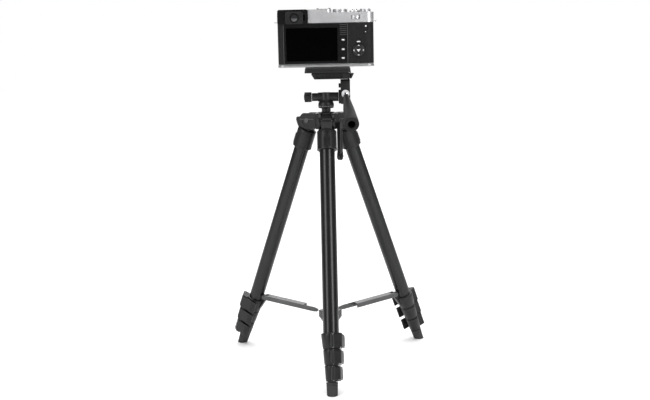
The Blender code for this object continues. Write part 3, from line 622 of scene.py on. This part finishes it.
def build_shoulder():
    """The moulded shoulder: a round core, ears for the legs and the crank's housing."""
    radius = FOOT_CIRCLE - PIVOT_ALONG * sin(LEG_ANGLE)
    height = PIVOT_ALONG * cos(LEG_ANGLE)
    bore = COLUMN_RADIUS + GAP
    top, low, wide = SHOULDER_TOP, SHOULDER_BOTTOM, SHOULDER_RADIUS
    profile = [(bore, top), (wide - 0.003, top), (wide - 0.0026, top - 0.0005),
        (wide - 0.0006, top - 0.0006), (wide, top - 0.0012), (wide, low + 0.0008), (wide - 0.0008, low),
        (bore, low)]
    core = lathe("shoulder_core", profile, "shoulder", "plastic", closed=True)
    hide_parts("shoulder")
    ear = [(0.011, low + 0.0005)] + arc((radius, height), EAR_RADIUS, -85, 65, 20) + [(0.011, top - 0.0005)]
    for side, azimuth in LEGS.items():
        turned = AXIS @ spin(radians(azimuth), "Z")
        for name, way in (("a", -1), ("b", 1)):
            offset = way * (TONGUE_HALF + GAP + EAR_THICK / 2)
            flank = turned @ move(0, offset, 0) @ UPRIGHT
            plate = prism(f"shoulder_ear_{name}_{side}", ear, EAR_THICK, "shoulder", "plastic", flank,
                0.0013, 4)
            outside = move(0, 0, -way * EAR_THICK / 2)
            hollow = [(0.015, low + 0.004), (radius + 0.002, height - 0.008),
                (radius + 0.0062, height - 0.003), (radius + 0.0062, height + 0.0012),
                (0.015, height + 0.0012)]
            carve(plate, prism("hollow", hollow, 0.0014, where=flank @ outside))
            # A raised ledge on each ear in the lighter painted_steel finish: a painted highlight line along
            # the ear.
            ledge = rounded(0.014, radius + 0.0096, height + 0.0012, height + 0.0024, 0.0005, 3)
            prism(f"ear_highlight_ledge_{name}_{side}", ledge, 0.0024, "shoulder", "painted_steel", flank @ outside,
                0.0003)
            face = way * (TONGUE_HALF + GAP + EAR_THICK)
            outward = turned @ move(radius, face, height) @ spin(-way * pi / 2, "X")
            screw_head(f"leg_bolt_{name}_{side}", 0.0032, 0.0004, "shoulder", outward)
        rod(f"leg_axle_{side}", 0.0024, 2 * (TONGUE_HALF + EAR_THICK), "shoulder", "bright_steel",
            turned @ move(radius, 0, height) @ ALONG_Y, 32)
    crank_side = AXIS @ spin(CRANK_AZIMUTH, "Z")
    rod("crank_housing", 0.006, 0.007, "shoulder", "plastic",
        crank_side @ move(0.0125, 0, CRANK_HEIGHT) @ ALONG_X, 40, 0.0005)


def build_column():
    """The anodised centre column and the neck that carries the head."""
    top, wide = SHOULDER_TOP, COLUMN_RADIUS
    profile = [(0.0062, top + 0.0058), (0.0062, top + 0.0014), (0.011, top + 0.0012),
        (0.0115, top + 0.0009), (0.0115, top + 0.0004), (0.0113, top + GAP), (wide, top + GAP),
        (wide, COLUMN_BOTTOM), (wide - 0.0014, COLUMN_BOTTOM), (wide - 0.0014, top - 0.002)]
    column = solid("column_tube", profile, "column", "anodised")
    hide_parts("column")
    plug = [(wide - 0.0014, COLUMN_BOTTOM + 0.0012), (wide - 0.0014, COLUMN_BOTTOM + 0.0004)]
    solid("column_plug", plug, "column", "plastic")


def build_crank():
    """The folding crank with its round grip."""
    reach = 0.0205
    base = AXIS @ move(reach * cos(CRANK_AZIMUTH), reach * sin(CRANK_AZIMUTH), CRANK_HEIGHT)
    base = base @ spin(CRANK_AZIMUTH, "Z")
    outline = arc((0, 0), 0.0036, 0, 180, 16) + [(-0.0038, -0.036)]
    outline += arc((0, -0.044), 0.0053, 150, 390, 24) + [(0.0038, -0.036)]
    arm = prism("crank_arm", outline, 0.0048, "crank", "plastic", base @ UPRIGHT_ACROSS, 0.0007, 3)
    carve(arm,
        block("recess", (0.003, 0.028, 0.0012), where=base @ UPRIGHT_ACROSS @ move(0, -0.0205, 0.0024)))
    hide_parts("crank")
    grip = [(0.0026, 0.0016), (0.0036, 0.0008), (0.0036, 0)]
    solid("crank_grip", grip, "crank", "satin_plastic", base @ move(0.0024, 0, -0.044) @ ALONG_X, 40,
        bevel=0.0003)
    rod("crank_pin", 0.0012, 0.0064, "crank", "bright_steel", base @ ALONG_Y, 24)


def build_column_lock():
    where = at(0, SHOULDER_RADIUS + 0.005, LOCK_HEIGHT, UPRIGHT)
    knob = prism("lock_knob", scallops(8, 0.0062, 0.0071), 0.008, "column_lock_knob", "plastic", where,
        0.0007, 3)
    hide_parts("column_lock_knob")
    cap = at(0, SHOULDER_RADIUS + 0.009, LOCK_HEIGHT, ALONG_Y)
    lathe("lock_knob_cap", [(0, 0.0007), (0.003, 0.0006), (0.004, 0), (0, 0)], "column_lock_knob",
        "satin_plastic", cap, 40)


def build_pan_body():
    """The panning body and the friction barrel across it."""
    low = SHOULDER_TOP + 0.0058 + GAP
    profile = [(0.0066, 0.3728), (0.0074, 0.3724), (0.0076, 0.3716), (0.0076, 0.3625), (0.0085, 0.3612),
        (0.0098, 0.3596), (0.0106, 0.3576), (0.0108, 0.356), (0.0108, 0.353), (0.0102, 0.3518),
        (0.0092, low)]
    body = solid("pan_housing", profile, "pan_body", "plastic")
    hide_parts("pan_body")
    rod("tilt_barrel", 0.0062, 0.028, "pan_body", "plastic", at(0.003, 0, TILT_HEIGHT, ALONG_X), 56, 0.0005)
    rod("tilt_neck", 0.0055, 0.009, "pan_body", "plastic", at(-0.0147, 0, TILT_HEIGHT, ALONG_X), 40, 0.0003)
    for k in range(24):
        turn = spin(2 * pi * k / 24, "Z")
        block(f"pan_tick_{k:02d}", (0.0003, 0.0003, 0.0012), "pan_body", "white_mark",
            AXIS @ turn @ move(0.01073, 0, 0.354))


def build_tilt_knob():
    where = at(-0.0243, 0, TILT_HEIGHT, ALONG_X)
    knob = prism("tilt_knob", ribbed(16, 0.0062, 0.0068), 0.0095, "tilt_lock_knob", "plastic", where, 0.0004)
    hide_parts("tilt_lock_knob")
    cap = at(-0.0243 - 0.00475, 0, TILT_HEIGHT, ALONG_X @ spin(pi, "X"))
    lathe("tilt_knob_cap", [(0, 0.0009), (0.003, 0.0008), (0.0048, 0.0002), (0.005, 0), (0, 0)],
        "tilt_lock_knob", "satin_plastic", cap, 48)


def build_tilt_arm():
    """The upright arm on the barrel, with its flange, handle boss and platform hinge."""
    outline = rounded(-0.0088, 0.0088, 0.3565, 0.3898, 0.003)
    arm = prism("arm_post", outline, 0.0126, "tilt_arm", "plastic", at(ARM_X, 0, 0, UPRIGHT_ACROSS), 0.0008,
        3)
    notch = block("notch", (0.006, 0.0086, 0.006), where=at(0.0322, 0, 0.389))
    panel = prism("panel", rounded(-0.0062, 0.0062, 0.3595, 0.383, 0.0015, 5), 0.001,
        where=at(0.0328, 0, 0, UPRIGHT_ACROSS))
    carve(arm, notch, panel)
    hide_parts("tilt_arm")
    rod("arm_flange", 0.0094, 0.0032, "tilt_arm", "plastic", at(0.0189, 0, TILT_HEIGHT, ALONG_X), 64, 0.0006)
    rod("platform_pin", 0.0009, 0.01, "tilt_arm", "bright_steel", at(HINGE_X, 0, HINGE_HEIGHT, ALONG_Y), 24)
    solid("handle_boss", [(0.0052, 0), (0.0054, -0.0003), (0.0054, -0.0026), (0.0044, -0.0034)], "tilt_arm",
        "nickel", at(ARM_X, -0.0122, 0.3705, UPRIGHT), 56)
    flip = at(0.019, 0, 0.3815, ALONG_X)
    prism("flip_screw", ribbed(18, 0.0027, 0.003), 0.003, "tilt_arm", "plastic", flip, 0.0002)
    screw_head("arm_screw", 0.0026, 0.0008, "tilt_arm", at(0.0323, 0, TILT_HEIGHT, ALONG_X), "bright_steel")


def build_platform():
    """The tray under the plate, with a slanted end, a slot with beads and its hinge knuckle."""
    outline = [(-0.015, PLATFORM_BOTTOM), (0.032, PLATFORM_BOTTOM), (0.032, 0.3985), (-0.019, 0.3985),
        (-0.019, 0.3968)]
    tray = prism("platform_tray", outline, 0.036, "platform", "plastic", AXIS @ UPRIGHT, 0.0008, 3)
    carve(tray, block("slot", (0.037, 0.008, 0.0056), where=at(0.0045, -0.018, 0.3946)))
    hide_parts("platform")
    block("knuckle_web", (0.0016, 0.0078, 0.003), "platform", "plastic", at(HINGE_X, 0, 0.3898), 0.0002)
    knuckle = rod("knuckle", 0.0018, 0.0078, "platform", "plastic", at(HINGE_X, 0, HINGE_HEIGHT, ALONG_Y),
        32)
    carve(knuckle, rod("bore", 0.0012, 0.03, where=at(HINGE_X, 0, HINGE_HEIGHT, ALONG_Y), sides=24))
    # The beads in the slot take the darker satin finish: painted shade in the recess.
    for k in range(5):
        rod(f"slot_bead_{k}", 0.0008, 0.0014, "platform", "satin_plastic",
            at(-0.004 + 0.005 * k, -0.0145, 0.3944, ALONG_Y), 20)


def build_plate_lever():
    outline = arc((0, 0), 0.0024, 0, 180, 14) + [(-0.0024, -0.029), (-0.0003, -0.0308), (0.0037, -0.028)]
    where = at(0.0348, 0.013, RELEASE_HEIGHT)
    lever_arm = prism("release_lever", outline, 0.007, "plate_lever", "plastic", where, 0.0006, 3)
    slant = radians(26.6)
    outside = at(0.0365, 0, RELEASE_HEIGHT, spin(slant, "Y") @ move(0.005, 0, 0))
    carve(lever_arm, block("slant", (0.01, 0.08, 0.03), where=outside))
    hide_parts("plate_lever")
    screw_head("lever_screw", 0.0015, 0.0005, "plate_lever", where @ move(0, 0, 0.0035), "bright_steel")


def build_plate():
    """The quick-release plate: a moulded base, its upper step and a rubber pad."""
    seam = PLATE_BOTTOM + 0.003
    outline = rounded(-0.028, 0.034, -0.019, 0.019, 0.004)
    base = prism("plate_base", outline, seam - PLATE_BOTTOM - 0.0001, "camera", "plastic",
        at(0, 0, (seam + PLATE_BOTTOM) / 2), 0.0005, 3)
    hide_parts("quick_release_plate")
    upper = rounded(-0.0276, 0.0336, -0.0186, 0.0186, 0.0038)
    high = PLATE_TOP - 0.0016
    prism("plate_upper", upper, high - seam, "camera", "plastic", at(0, 0, (high + seam) / 2), 0.0006, 3)
    pad = rounded(-0.027, 0.033, -0.018, 0.018, 0.0034)
    prism("plate_pad", pad, PLATE_TOP - high, "camera", "rubber", at(0, 0, (PLATE_TOP + high) / 2), 0.0004)


def build_handle():
    """The pan handle: a bright threaded rod and a hollow tapered grip."""
    tilted = spin(pi / 2 + HANDLE_SLOPE, "X")
    where = AXIS @ move(*HANDLE_START) @ spin(HANDLE_YAW, "Z") @ tilted
    end, hole = HANDLE_LENGTH, 0.0048
    profile = [(hole, end - 0.03), (hole, end - 0.0006), (hole + 0.0006, end), (0.0084, end),
        (0.0092, end - 0.0006), (0.0094, end - 0.0018), (0.0094, end - 0.01), (0.0086, end - 0.026),
        (0.007, 0.06), (0.0062, 0.048), (0.0048, 0.026), (0.0038, 0.012), (0.0036, 0.0102)]
    grip = solid("handle_grip", profile, "pan_handle", "grip_plastic", where)
    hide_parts("pan_handle")
    rod("handle_rod", 0.0027, 0.0076, "pan_handle", "bright_steel", where @ move(0, 0, 0.0068), 40)
    for k in range(6):
        lathe(f"handle_thread_{k}", [(0.0027, 0.0003), (0.0032, 0), (0.0027, -0.0003)], "pan_handle",
            "bright_steel", where @ move(0, 0, 0.004 + 0.0011 * k), 40, closed=True)


# ---- camera


def camera_outline(inset=0.0):
    half = CAMERA_WIDTH / 2 - inset
    deep = CAMERA_DEPTH / 2 - inset
    return rounded(CAMERA_X - half, CAMERA_X + half, -deep, deep, 0.0095 - inset, 14)


def layer(name, low, high, look, inset=0.0, bevel=0.0, segments=3):
    """One level slice of the camera's body."""
    return prism(name, camera_outline(inset), high - low, "camera", look, at(0, 0, (low + high) / 2), bevel,
        segments)


def on_back(x, z, lift=0.0):
    """Axes on the camera's back, with local X, Y along the back and Z out of it."""
    return at(x, BACK_Y - lift, z, UPRIGHT)


def on_front(x, z, lift=0.0):
    """Axes on the camera's front, with local Z out of it."""
    return at(x, FRONT_Y + lift, z, ALONG_Y)


def build_camera_shells():
    # The base plate takes the darker copy of the silver: painted shade.
    base = layer("base_plate", CAMERA_BOTTOM, BOTTOM_PLATE_TOP, "painted_shade_silver", 0, 0.0009, 4)
    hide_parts("camera_bottom_plate")
    casing = layer("wrapped_body", BOTTOM_PLATE_TOP + GAP, CASING_TOP - GAP, "leatherette", 0.0003)
    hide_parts("camera_casing")
    back = rounded(-0.0545, 0.03, 0.4114, 0.464, 0.0016, 5)
    middle = on_back(MONITOR_X, MONITOR_Z)
    opening = block("screen_opening", (0.07, 0.0452, 0.008), where=middle)
    carve(casing, block("screen_recess", (0.07, 0.0452, 0.002), where=middle))
    cover = prism("back_cover", back, 0.001, "camera", "satin_plastic", on_back(0, 0, 0.0003), 0.0003)
    wells = [rod("well", 0.003, 0.02, where=on_back(MENU_X, z), sides=32) for z in MENU_HEIGHTS]
    carve(cover, opening, *wells)
    places = [(MENU_X, z) for z in MENU_HEIGHTS] + [(PAD_X, DRIVE_Z)]
    wells = [rod("well", 0.0029, 0.005, where=on_back(x, z), sides=32) for x, z in places]
    carve(casing, rod("pad_well", 0.0083, 0.005, where=on_back(PAD_X, PAD_Z), sides=48), *wells)
    # A thin rim in the lighter painted_steel finish around the back cover: a painted highlight line along
    # the cover's edges.
    rim = rounded(-0.0552, 0.0307, 0.4109, 0.4645, 0.002, 5)
    frame_line = prism("back_highlight_rim", rim, 0.0008, "camera", "painted_steel", on_back(0, 0, 0.0001))
    carve(frame_line, prism("rim_cut", back, 0.01, where=on_back(0, 0)))


def build_monitor():
    """The monitor: a black frame around a glass panel."""
    x, z = MONITOR_X, MONITOR_Z
    outer = oblong(0.0347, 0.0223, 0.0014, 6)
    bezel = prism("monitor_frame", outer, 0.0016, "camera", "satin_plastic", on_back(x, z, 0.0004), 0.0003,
        3)
    carve(bezel, prism("window", oblong(0.0342, 0.0218, 0.001, 4), 0.004, where=on_back(x, z, 0.0026)))
    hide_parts("monitor")
    glass = oblong(0.0341, 0.0217, 0.0009, 4)
    prism("monitor_glass", glass, 0.0006, "camera", "screen", on_back(x, z, 0.0009), 0.0002)


def build_top_shell():
    """The silver top plate in two levels, with the finder housing and the shoe."""
    plate = layer("top_plate", CASING_TOP, TOP_PLATE_TOP, "silver", 0, 0.001, 4)
    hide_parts("camera_top_plate")
    raised = rounded(-0.061, 0.0095, -0.0168, 0.0168, 0.006, 10)
    carve(plate, prism("raised", raised, 0.006, where=at(0, 0, RAISED_TOP - 0.003)), operation="UNION")
    carve(plate, block("finder_recess", (0.0408, 0.006, 0.03), where=at(-0.0421, BACK_Y, 0.4778)),
        block("dial_window", (0.0118, 0.006, 0.0054), where=at(WHEEL_X, BACK_Y, WHEEL_Z)))
    prism("rear_wheel", ribbed(40, 0.0069, 0.0073), 0.0044, "camera", "silver",
        at(WHEEL_X, BACK_Y + 0.0069, WHEEL_Z))
    build_finder()
    build_shoe()


def build_finder():
    """The viewfinder housing with its eyepiece, its eye sensor and its dioptre wheel."""
    outline = rounded(-0.0622, -0.0222, 0.4632, 0.4826, 0.0025)
    house = prism("finder_housing", outline, 0.0056, "camera", "satin_plastic",
        at(0, BACK_Y - 0.0005, 0, UPRIGHT), 0.0007, 3)
    clear = block("clear", (0.08, 0.006, 0.004), where=at(-0.0421, BACK_Y + 0.003, CASING_TOP - 0.002))
    well = rod("well", 0.0066, 0.004, where=at(EYE_X, BACK_Y - 0.0033, EYE_Z, ALONG_Y), sides=56)
    carve(house, clear, well)
    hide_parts("viewfinder_housing")
    face = BACK_Y - 0.0033
    bezel = prism("eyepiece_bezel", oblong(0.0118, 0.008, 0.003), 0.0016, "camera", "plastic",
        at(EYE_X, face - 0.0004, EYE_Z, UPRIGHT), 0.0005, 3)
    carve(bezel, rod("hole", 0.0062, 0.02, where=at(EYE_X, face, EYE_Z, ALONG_Y), sides=56))
    lathe("eyepiece_ring", [(0.0052, 0.0012), (0.006, 0.0012), (0.0064, 0.0006), (0.0064, -0.0008),
        (0.0052, -0.0008)], "camera", "satin_plastic", at(EYE_X, face - 0.0002, EYE_Z, UPRIGHT), 56,
        closed=True)
    lathe("eyepiece_lens", [(0, 0.001), (0.003, 0.0007), (0.005, 0.0001), (0.0052, -0.0006), (0, -0.0006)],
        "camera", "clear_glass", at(EYE_X, face + 0.0002, EYE_Z, UPRIGHT), 48)
    prism("eye_sensor", oblong(0.0012, 0.004, 0.0008, 5), 0.0006, "camera", "screen",
        at(-0.0272, face - 0.0001, 0.472, UPRIGHT), 0.0001)
    prism("dioptre_wheel", ribbed(24, 0.003, 0.0034), 0.0022, "camera", "plastic",
        at(-0.0603, BACK_Y + 0.0012, 0.4716, UPRIGHT_ACROSS))


def build_shoe():
    """The accessory shoe: a plate with two folded rails and its contacts."""
    base = RAISED_TOP + GAP
    plate = prism("shoe_plate", oblong(0.0093, 0.009, 0.001, 4), 0.0006, "camera", "painted_steel",
        at(SHOE_X, 0, base + 0.0003), 0.0001)
    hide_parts("hot_shoe")
    for name, way in (("left", -1), ("right", 1)):
        rail = [(0.0072, 0.0006), (0.0093, 0.0006), (0.0093, 0.0016), (0.0066, 0.0016), (0.0066, 0.0012),
            (0.0072, 0.0012)]
        outline = [(way * x, z) for x, z in rail]
        prism(f"shoe_rail_{name}", outline, 0.017, "camera", "bright_steel", at(SHOE_X, 0, base) @ UPRIGHT,
            0.00015)
    contacts = ((0, 0), (-0.003, 0.003), (0.003, 0.003), (-0.003, -0.003), (0.003, -0.003))
    for k, (x, y) in enumerate(contacts):
        rod(f"shoe_contact_{k}", 0.0009, 0.0002, "camera", "bright_steel", at(SHOE_X + x, y, base + 0.0007),
            24)


def button(name, x, z, mark_x, mark_z):
    """A small round button on the camera's back, with a white mark of the given half sides."""
    wide = BUTTON_RADIUS
    profile = [(wide - 0.0006, 0.0014), (wide - 0.0001, 0.001), (wide, 0.0004), (wide, -0.0014)]
    cap = solid(name + "_cap", profile, name, "plastic", on_back(x, z, 0.0004), 40)
    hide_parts(name)
    mark = oblong(mark_x, mark_z, 0.0002, 2)
    prism(name + "_mark", mark, 0.0002, name, "white_mark", on_back(x, z, 0.0018))


def build_rear_controls():
    for label, z in zip(("upper", "middle", "lower"), MENU_HEIGHTS):
        button(f"menu_button_{label}", MENU_X, z, 0.0017, 0.0009)
    button("drive_button", PAD_X, DRIVE_Z, 0.0022, 0.0007)
    pad = solid("pad_ring", [(0.0036, 0.0006), (0.0044, 0.0012), (0.0056, 0.0016), (0.0068, 0.0016),
        (0.0077, 0.0012), (0.008, 0.0004), (0.008, -0.0012)], "control_pad", "plastic",
        on_back(PAD_X, PAD_Z, 0.0004), 64)
    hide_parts("control_pad")
    lathe("pad_centre", [(0, 0.0016), (0.0022, 0.0015), (0.003, 0.001), (0.0031, 0.0004), (0, 0.0004)],
        "control_pad", "satin_plastic", on_back(PAD_X, PAD_Z, 0.0005), 40)
    for k in range(4):
        turn = spin(pi / 2 * k, "Z")
        arrow = [(-0.0016, -0.0003), (0.0016, -0.0003), (0, 0.0009)]
        prism(f"pad_arrow_{k}", arrow, 0.0002, "control_pad", "white_mark",
            on_back(PAD_X, PAD_Z, 0.0021) @ turn @ move(0, 0.0062, 0))
    prism("pad_centre_mark", [(0, -0.0024), (0.0026, 0.0013), (-0.0026, 0.0013)], 0.0002, "control_pad",
        "white_mark", on_back(PAD_X, PAD_Z, 0.0021))
    for k in range(6):
        block(f"thumb_rib_{k}", (0.0092, 0.0012, 0.0012), "camera", "rubber",
            on_back(0.0246, 0.449 + 0.0026 * k, 0.0012), 0.0004)
    rod("bright_lamp", 0.0011, 0.0008, "camera", "white_mark", on_back(0.0547, 0.4597, 0.0003), 24)
    rod("focus_button", 0.002, 0.0014, "camera", "plastic", on_back(0.0542, 0.4522, 0.0004), 32, 0.0003)
    rod("focus_button_mark", 0.0006, 0.0002, "camera", "white_mark", on_back(0.0542, 0.4522, 0.0011), 20)


def dial(name, radius, height, x, y, ticks):
    """A knurled dial with a raised rim on its face and black marks."""
    low = TOP_PLATE_TOP + GAP
    drum = prism(name + "_drum", ribbed(48, radius - 0.0004, radius), height - 0.0006, name, "silver",
        at(x, y, low + (height - 0.0006) / 2))
    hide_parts(name)
    rim = radius - 0.0006
    solid(name + "_face", [(rim - 0.0012, height - 0.0003), (rim - 0.0009, height), (rim - 0.0002, height),
        (rim, height - 0.0003), (rim, height - 0.0007)], name, "silver", at(x, y, low), 64)
    for k in range(ticks):
        turn = spin(2 * pi * k / ticks, "Z")
        block(f"{name}_tick_{k:02d}", (0.0015, 0.00035, 0.0002), name, "black_mark",
            at(x, y, low + height - 0.00022) @ turn @ move(rim - 0.0024, 0, 0))


def build_top_controls():
    dial("shutter_speed_dial", 0.01, 0.0046, 0.0213, 0.002, 14)
    dial("exposure_dial", 0.0074, 0.004, 0.0545, -0.006, 13)
    x, y = 0.041, 0.005
    low = TOP_PLATE_TOP + GAP
    collar_ring = lathe("power_ring", [(0.0036, 0.003), (0.0066, 0.0029), (0.0071, 0.0026),
        (0.0075, 0.0006), (0.0078, 0), (0.0036, 0)], "power_collar", "silver", at(x, y, low), 56,
        closed=True)
    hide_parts("power_collar")
    prism("power_tab", rounded(0.0066, 0.0092, -0.0012, 0.0012, 0.0008, 5), 0.0018, "power_collar",
        "silver", at(x, y, low + 0.0012) @ spin(radians(60), "Z"), 0.0004)
    lathe("power_line", [(0.004, 0.0033), (0.0046, 0.0033), (0.0046, 0.0029), (0.004, 0.0029)],
        "power_collar", "red_mark", at(x, y, low), 48, closed=True)
    cap = solid("release_cap", [(0.0012, 0.0036), (0.0024, 0.004), (0.003, 0.004), (0.0033, 0.0036),
        (0.0033, 0)], "shutter_button", "bright_steel", at(x, y, TOP_PLATE_TOP + 0.0012), 40)
    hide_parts("shutter_button")
    carve(cap, rod("thread", 0.0009, 0.004, where=at(x, y, TOP_PLATE_TOP + 0.0052), sides=20))
    rod("function_button", 0.0018, 0.001, "camera", "silver", at(0.056, 0.008, TOP_PLATE_TOP + 0.0005), 32,
        0.0003)


def build_lens():
    """The fixed lens with its rings and glass, and the windows, lamp, selector and grip of the front."""
    mount = on_front(LENS_X, LENS_Z)
    profile = [(0.015, 0.019), (0.0156, 0.0192), (0.0182, 0.0192), (0.0189, 0.0186), (0.019, 0.0178),
        (0.019, 0.0112), (0.0196, 0.0108), (0.0203, 0.0107), (0.0205, 0.0104), (0.0205, 0.006),
        (0.0213, 0.0057), (0.0215, 0.0054), (0.0215, GAP), (0.015, GAP)]
    barrel = lathe("lens_tube", profile, "camera", "silver", mount, 96, closed=True)
    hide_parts("lens_barrel")
    knurl = prism("aperture_knurl", ribbed(72, 0.0219, 0.0222), 0.0044, "aperture_ring", "silver",
        mount @ move(0, 0, RING_ALONG))
    carve(knurl, rod("bore", 0.0208, 0.02, where=mount @ move(0, 0, RING_ALONG), sides=96))
    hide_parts("aperture_ring")
    for name, way in (("a", 0), ("b", pi)):
        prism(f"aperture_tab_{name}", rounded(0.0216, 0.0236, -0.003, 0.003, 0.0008, 5), 0.004,
            "aperture_ring", "silver", mount @ spin(way, "Z") @ move(0, 0, RING_ALONG), 0.0004)
    front = lathe("front_element", [(0, 0.012), (0.004, 0.0118), (0.008, 0.0111), (0.011, 0.01),
        (0.0112, 0.0094), (0.0112, 0.002), (0, 0.002)], "camera", "coated_glass", mount, 72)
    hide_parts("lens_glass")
    lathe("inner_hood", [(0.0112, 0.0112), (0.0118, 0.0116), (0.0149, 0.0182), (0.0149, 0.016),
        (0.0116, 0.009), (0.0112, 0.009)], "camera", "plastic", mount, 72, closed=True)
    window = prism("finder_window", oblong(0.0085, 0.0052, 0.0014, 6), 0.0024, "camera", "plastic",
        on_front(FINDER_X, WINDOW_Z, -0.0004), 0.0004)
    carve(window, prism("opening", oblong(0.0068, 0.0038, 0.0008, 5), 0.002,
        where=on_front(FINDER_X, WINDOW_Z, 0.0012)))
    prism("finder_front_glass", oblong(0.0067, 0.0037, 0.0007, 5), 0.0006, "camera", "clear_glass",
        on_front(FINDER_X, WINDOW_Z, 0.0004))
    prism("flash_window", oblong(0.008, 0.0034, 0.001, 5), 0.0012, "camera", "white_mark",
        on_front(-0.01, WINDOW_Z, 0.0001), 0.0003)
    rod("focus_lamp", 0.0016, 0.001, "camera", "clear_glass", on_front(0.016, 0.4725, 0.0002), 32)
    solid("selector_hub", [(0.0034, 0.0024), (0.004, 0.0018), (0.004, 0)], "camera", "silver",
        on_front(SELECTOR_X, SELECTOR_Z), 40)
    prism("selector_arm", rounded(-0.0013, 0.0013, -0.0105, 0.001, 0.0012, 6), 0.0016, "camera", "silver",
        at(SELECTOR_X, FRONT_Y + 0.0016, SELECTOR_Z, UPRIGHT), 0.0003)
    grip = rounded(0.0375, 0.058, 0.416, 0.462, 0.006, 10)
    prism("front_grip", grip, 0.009, "camera", "leatherette", at(0, FRONT_Y + 0.0014, 0, UPRIGHT), 0.003, 6)


def build_strap_lugs():
    """Small strap lugs at the camera's ends."""
    for name, way in (("left", -1), ("right", 1)):
        outward = at(CAMERA_X + way * CAMERA_WIDTH / 2, 0, 0.4672, spin(way * pi / 2, "Y"))
        solid(f"strap_lug_{name}", [(0.0014, 0.004), (0.0018, 0.0036), (0.0018, 0.0028), (0.001, 0.0024),
            (0.001, 0.0008), (0.0026, 0.0004), (0.0026, -0.0002)], "camera", "nickel", outward, 40)


# ---- stage


def build_stage():
    """A pale floor, a white surround and soft studio lights."""
    shape = bmesh.new()
    bmesh.ops.create_circle(shape, cap_ends=True, segments=96, radius=14.0)
    mesh = bpy.data.meshes.new("floor")
    shape.to_mesh(mesh)
    shape.free()
    floor = bpy.data.objects.new("floor", mesh)
    link(floor)
    pale = bpy.data.materials.new("pale_floor")
    pale.use_nodes = True
    shader = pale.node_tree.nodes["Principled BSDF"]
    shader.inputs["Base Color"].default_value = (0.9, 0.9, 0.9, 1.0)
    shader.inputs["Roughness"].default_value = 0.75
    mesh.materials.append(pale)

    world = bpy.data.worlds.new("surround")
    bpy.context.scene.world = world
    world.use_nodes = True
    tree = world.node_tree
    shown = tree.nodes["Background"]
    lighting = tree.nodes.new("ShaderNodeBackground")
    for node, strength in ((shown, 1.0), (lighting, 0.12)):
        node.inputs["Color"].default_value = WHITE
        node.inputs["Strength"].default_value = strength
    chooser = tree.nodes.new("ShaderNodeMixShader")
    rays = tree.nodes.new("ShaderNodeLightPath")
    tree.links.new(rays.outputs["Is Camera Ray"], chooser.inputs[0])
    tree.links.new(lighting.outputs["Background"], chooser.inputs[1])
    tree.links.new(shown.outputs["Background"], chooser.inputs[2])
    tree.links.new(chooser.outputs[0], tree.nodes["World Output"].inputs["Surface"])

    sky = bpy.data.lights.new("sky", "SUN")
    sky.energy = 3.55
    sky.angle = radians(70.0)
    sun = bpy.data.objects.new("sky", sky)
    sun.rotation_euler = (radians(-18.0), 0.0, 0.0)
    link(sun)

    target = Vector((0.0, 0.03, 0.24))
    lights = (("strip_left", (-1.22, -1.03, 0.9), (0.55, 1.1), 13.0),
        ("strip_right", (1.05, -1.25, 0.9), (0.55, 1.1), 16.0),
        ("overhead", (0.2, -0.4, 2.2), (1.6, 1.2), 8.0), ("far_rear", (0.0, 3.2, 1.15), (3.0, 0.5), 26.0))
    for name, place, size, power in lights:
        data = bpy.data.lights.new(name, "AREA")
        data.shape = "RECTANGLE"
        data.size, data.size_y = size
        data.energy = power
        lamp = bpy.data.objects.new(name, data)
        lamp.location = place
        lamp.rotation_euler = (target - Vector(place)).to_track_quat("-Z", "Y").to_euler()
        link(lamp)


def build_camera_view():
    """The view from behind the compact, looking a little down at the tripod."""
    data = bpy.data.cameras.new("view")
    data.lens = 50.6
    data.sensor_width = 36.0
    view = bpy.data.objects.new("view", data)
    pitch = spin(radians(90.0 - 8.8), "X")
    view.matrix_world = at(-0.0042, -1.25, 0.418) @ pitch @ spin(radians(-1.2), "Z")
    link(view)
    bpy.context.scene.camera = view


for leg_side, leg_azimuth in LEGS.items():
    build_leg(leg_side, leg_azimuth)
build_hub()
build_shoulder()
build_column()
build_crank()
build_column_lock()
build_pan_body()
build_tilt_knob()
build_tilt_arm()
build_platform()
build_plate_lever()
build_plate()
build_handle()
build_camera_shells()
build_monitor()
build_top_shell()
build_rear_controls()
build_top_controls()
build_lens()
build_strap_lugs()
build_stage()
build_camera_view()
bpy.context.scene.view_settings.view_transform = "Standard"
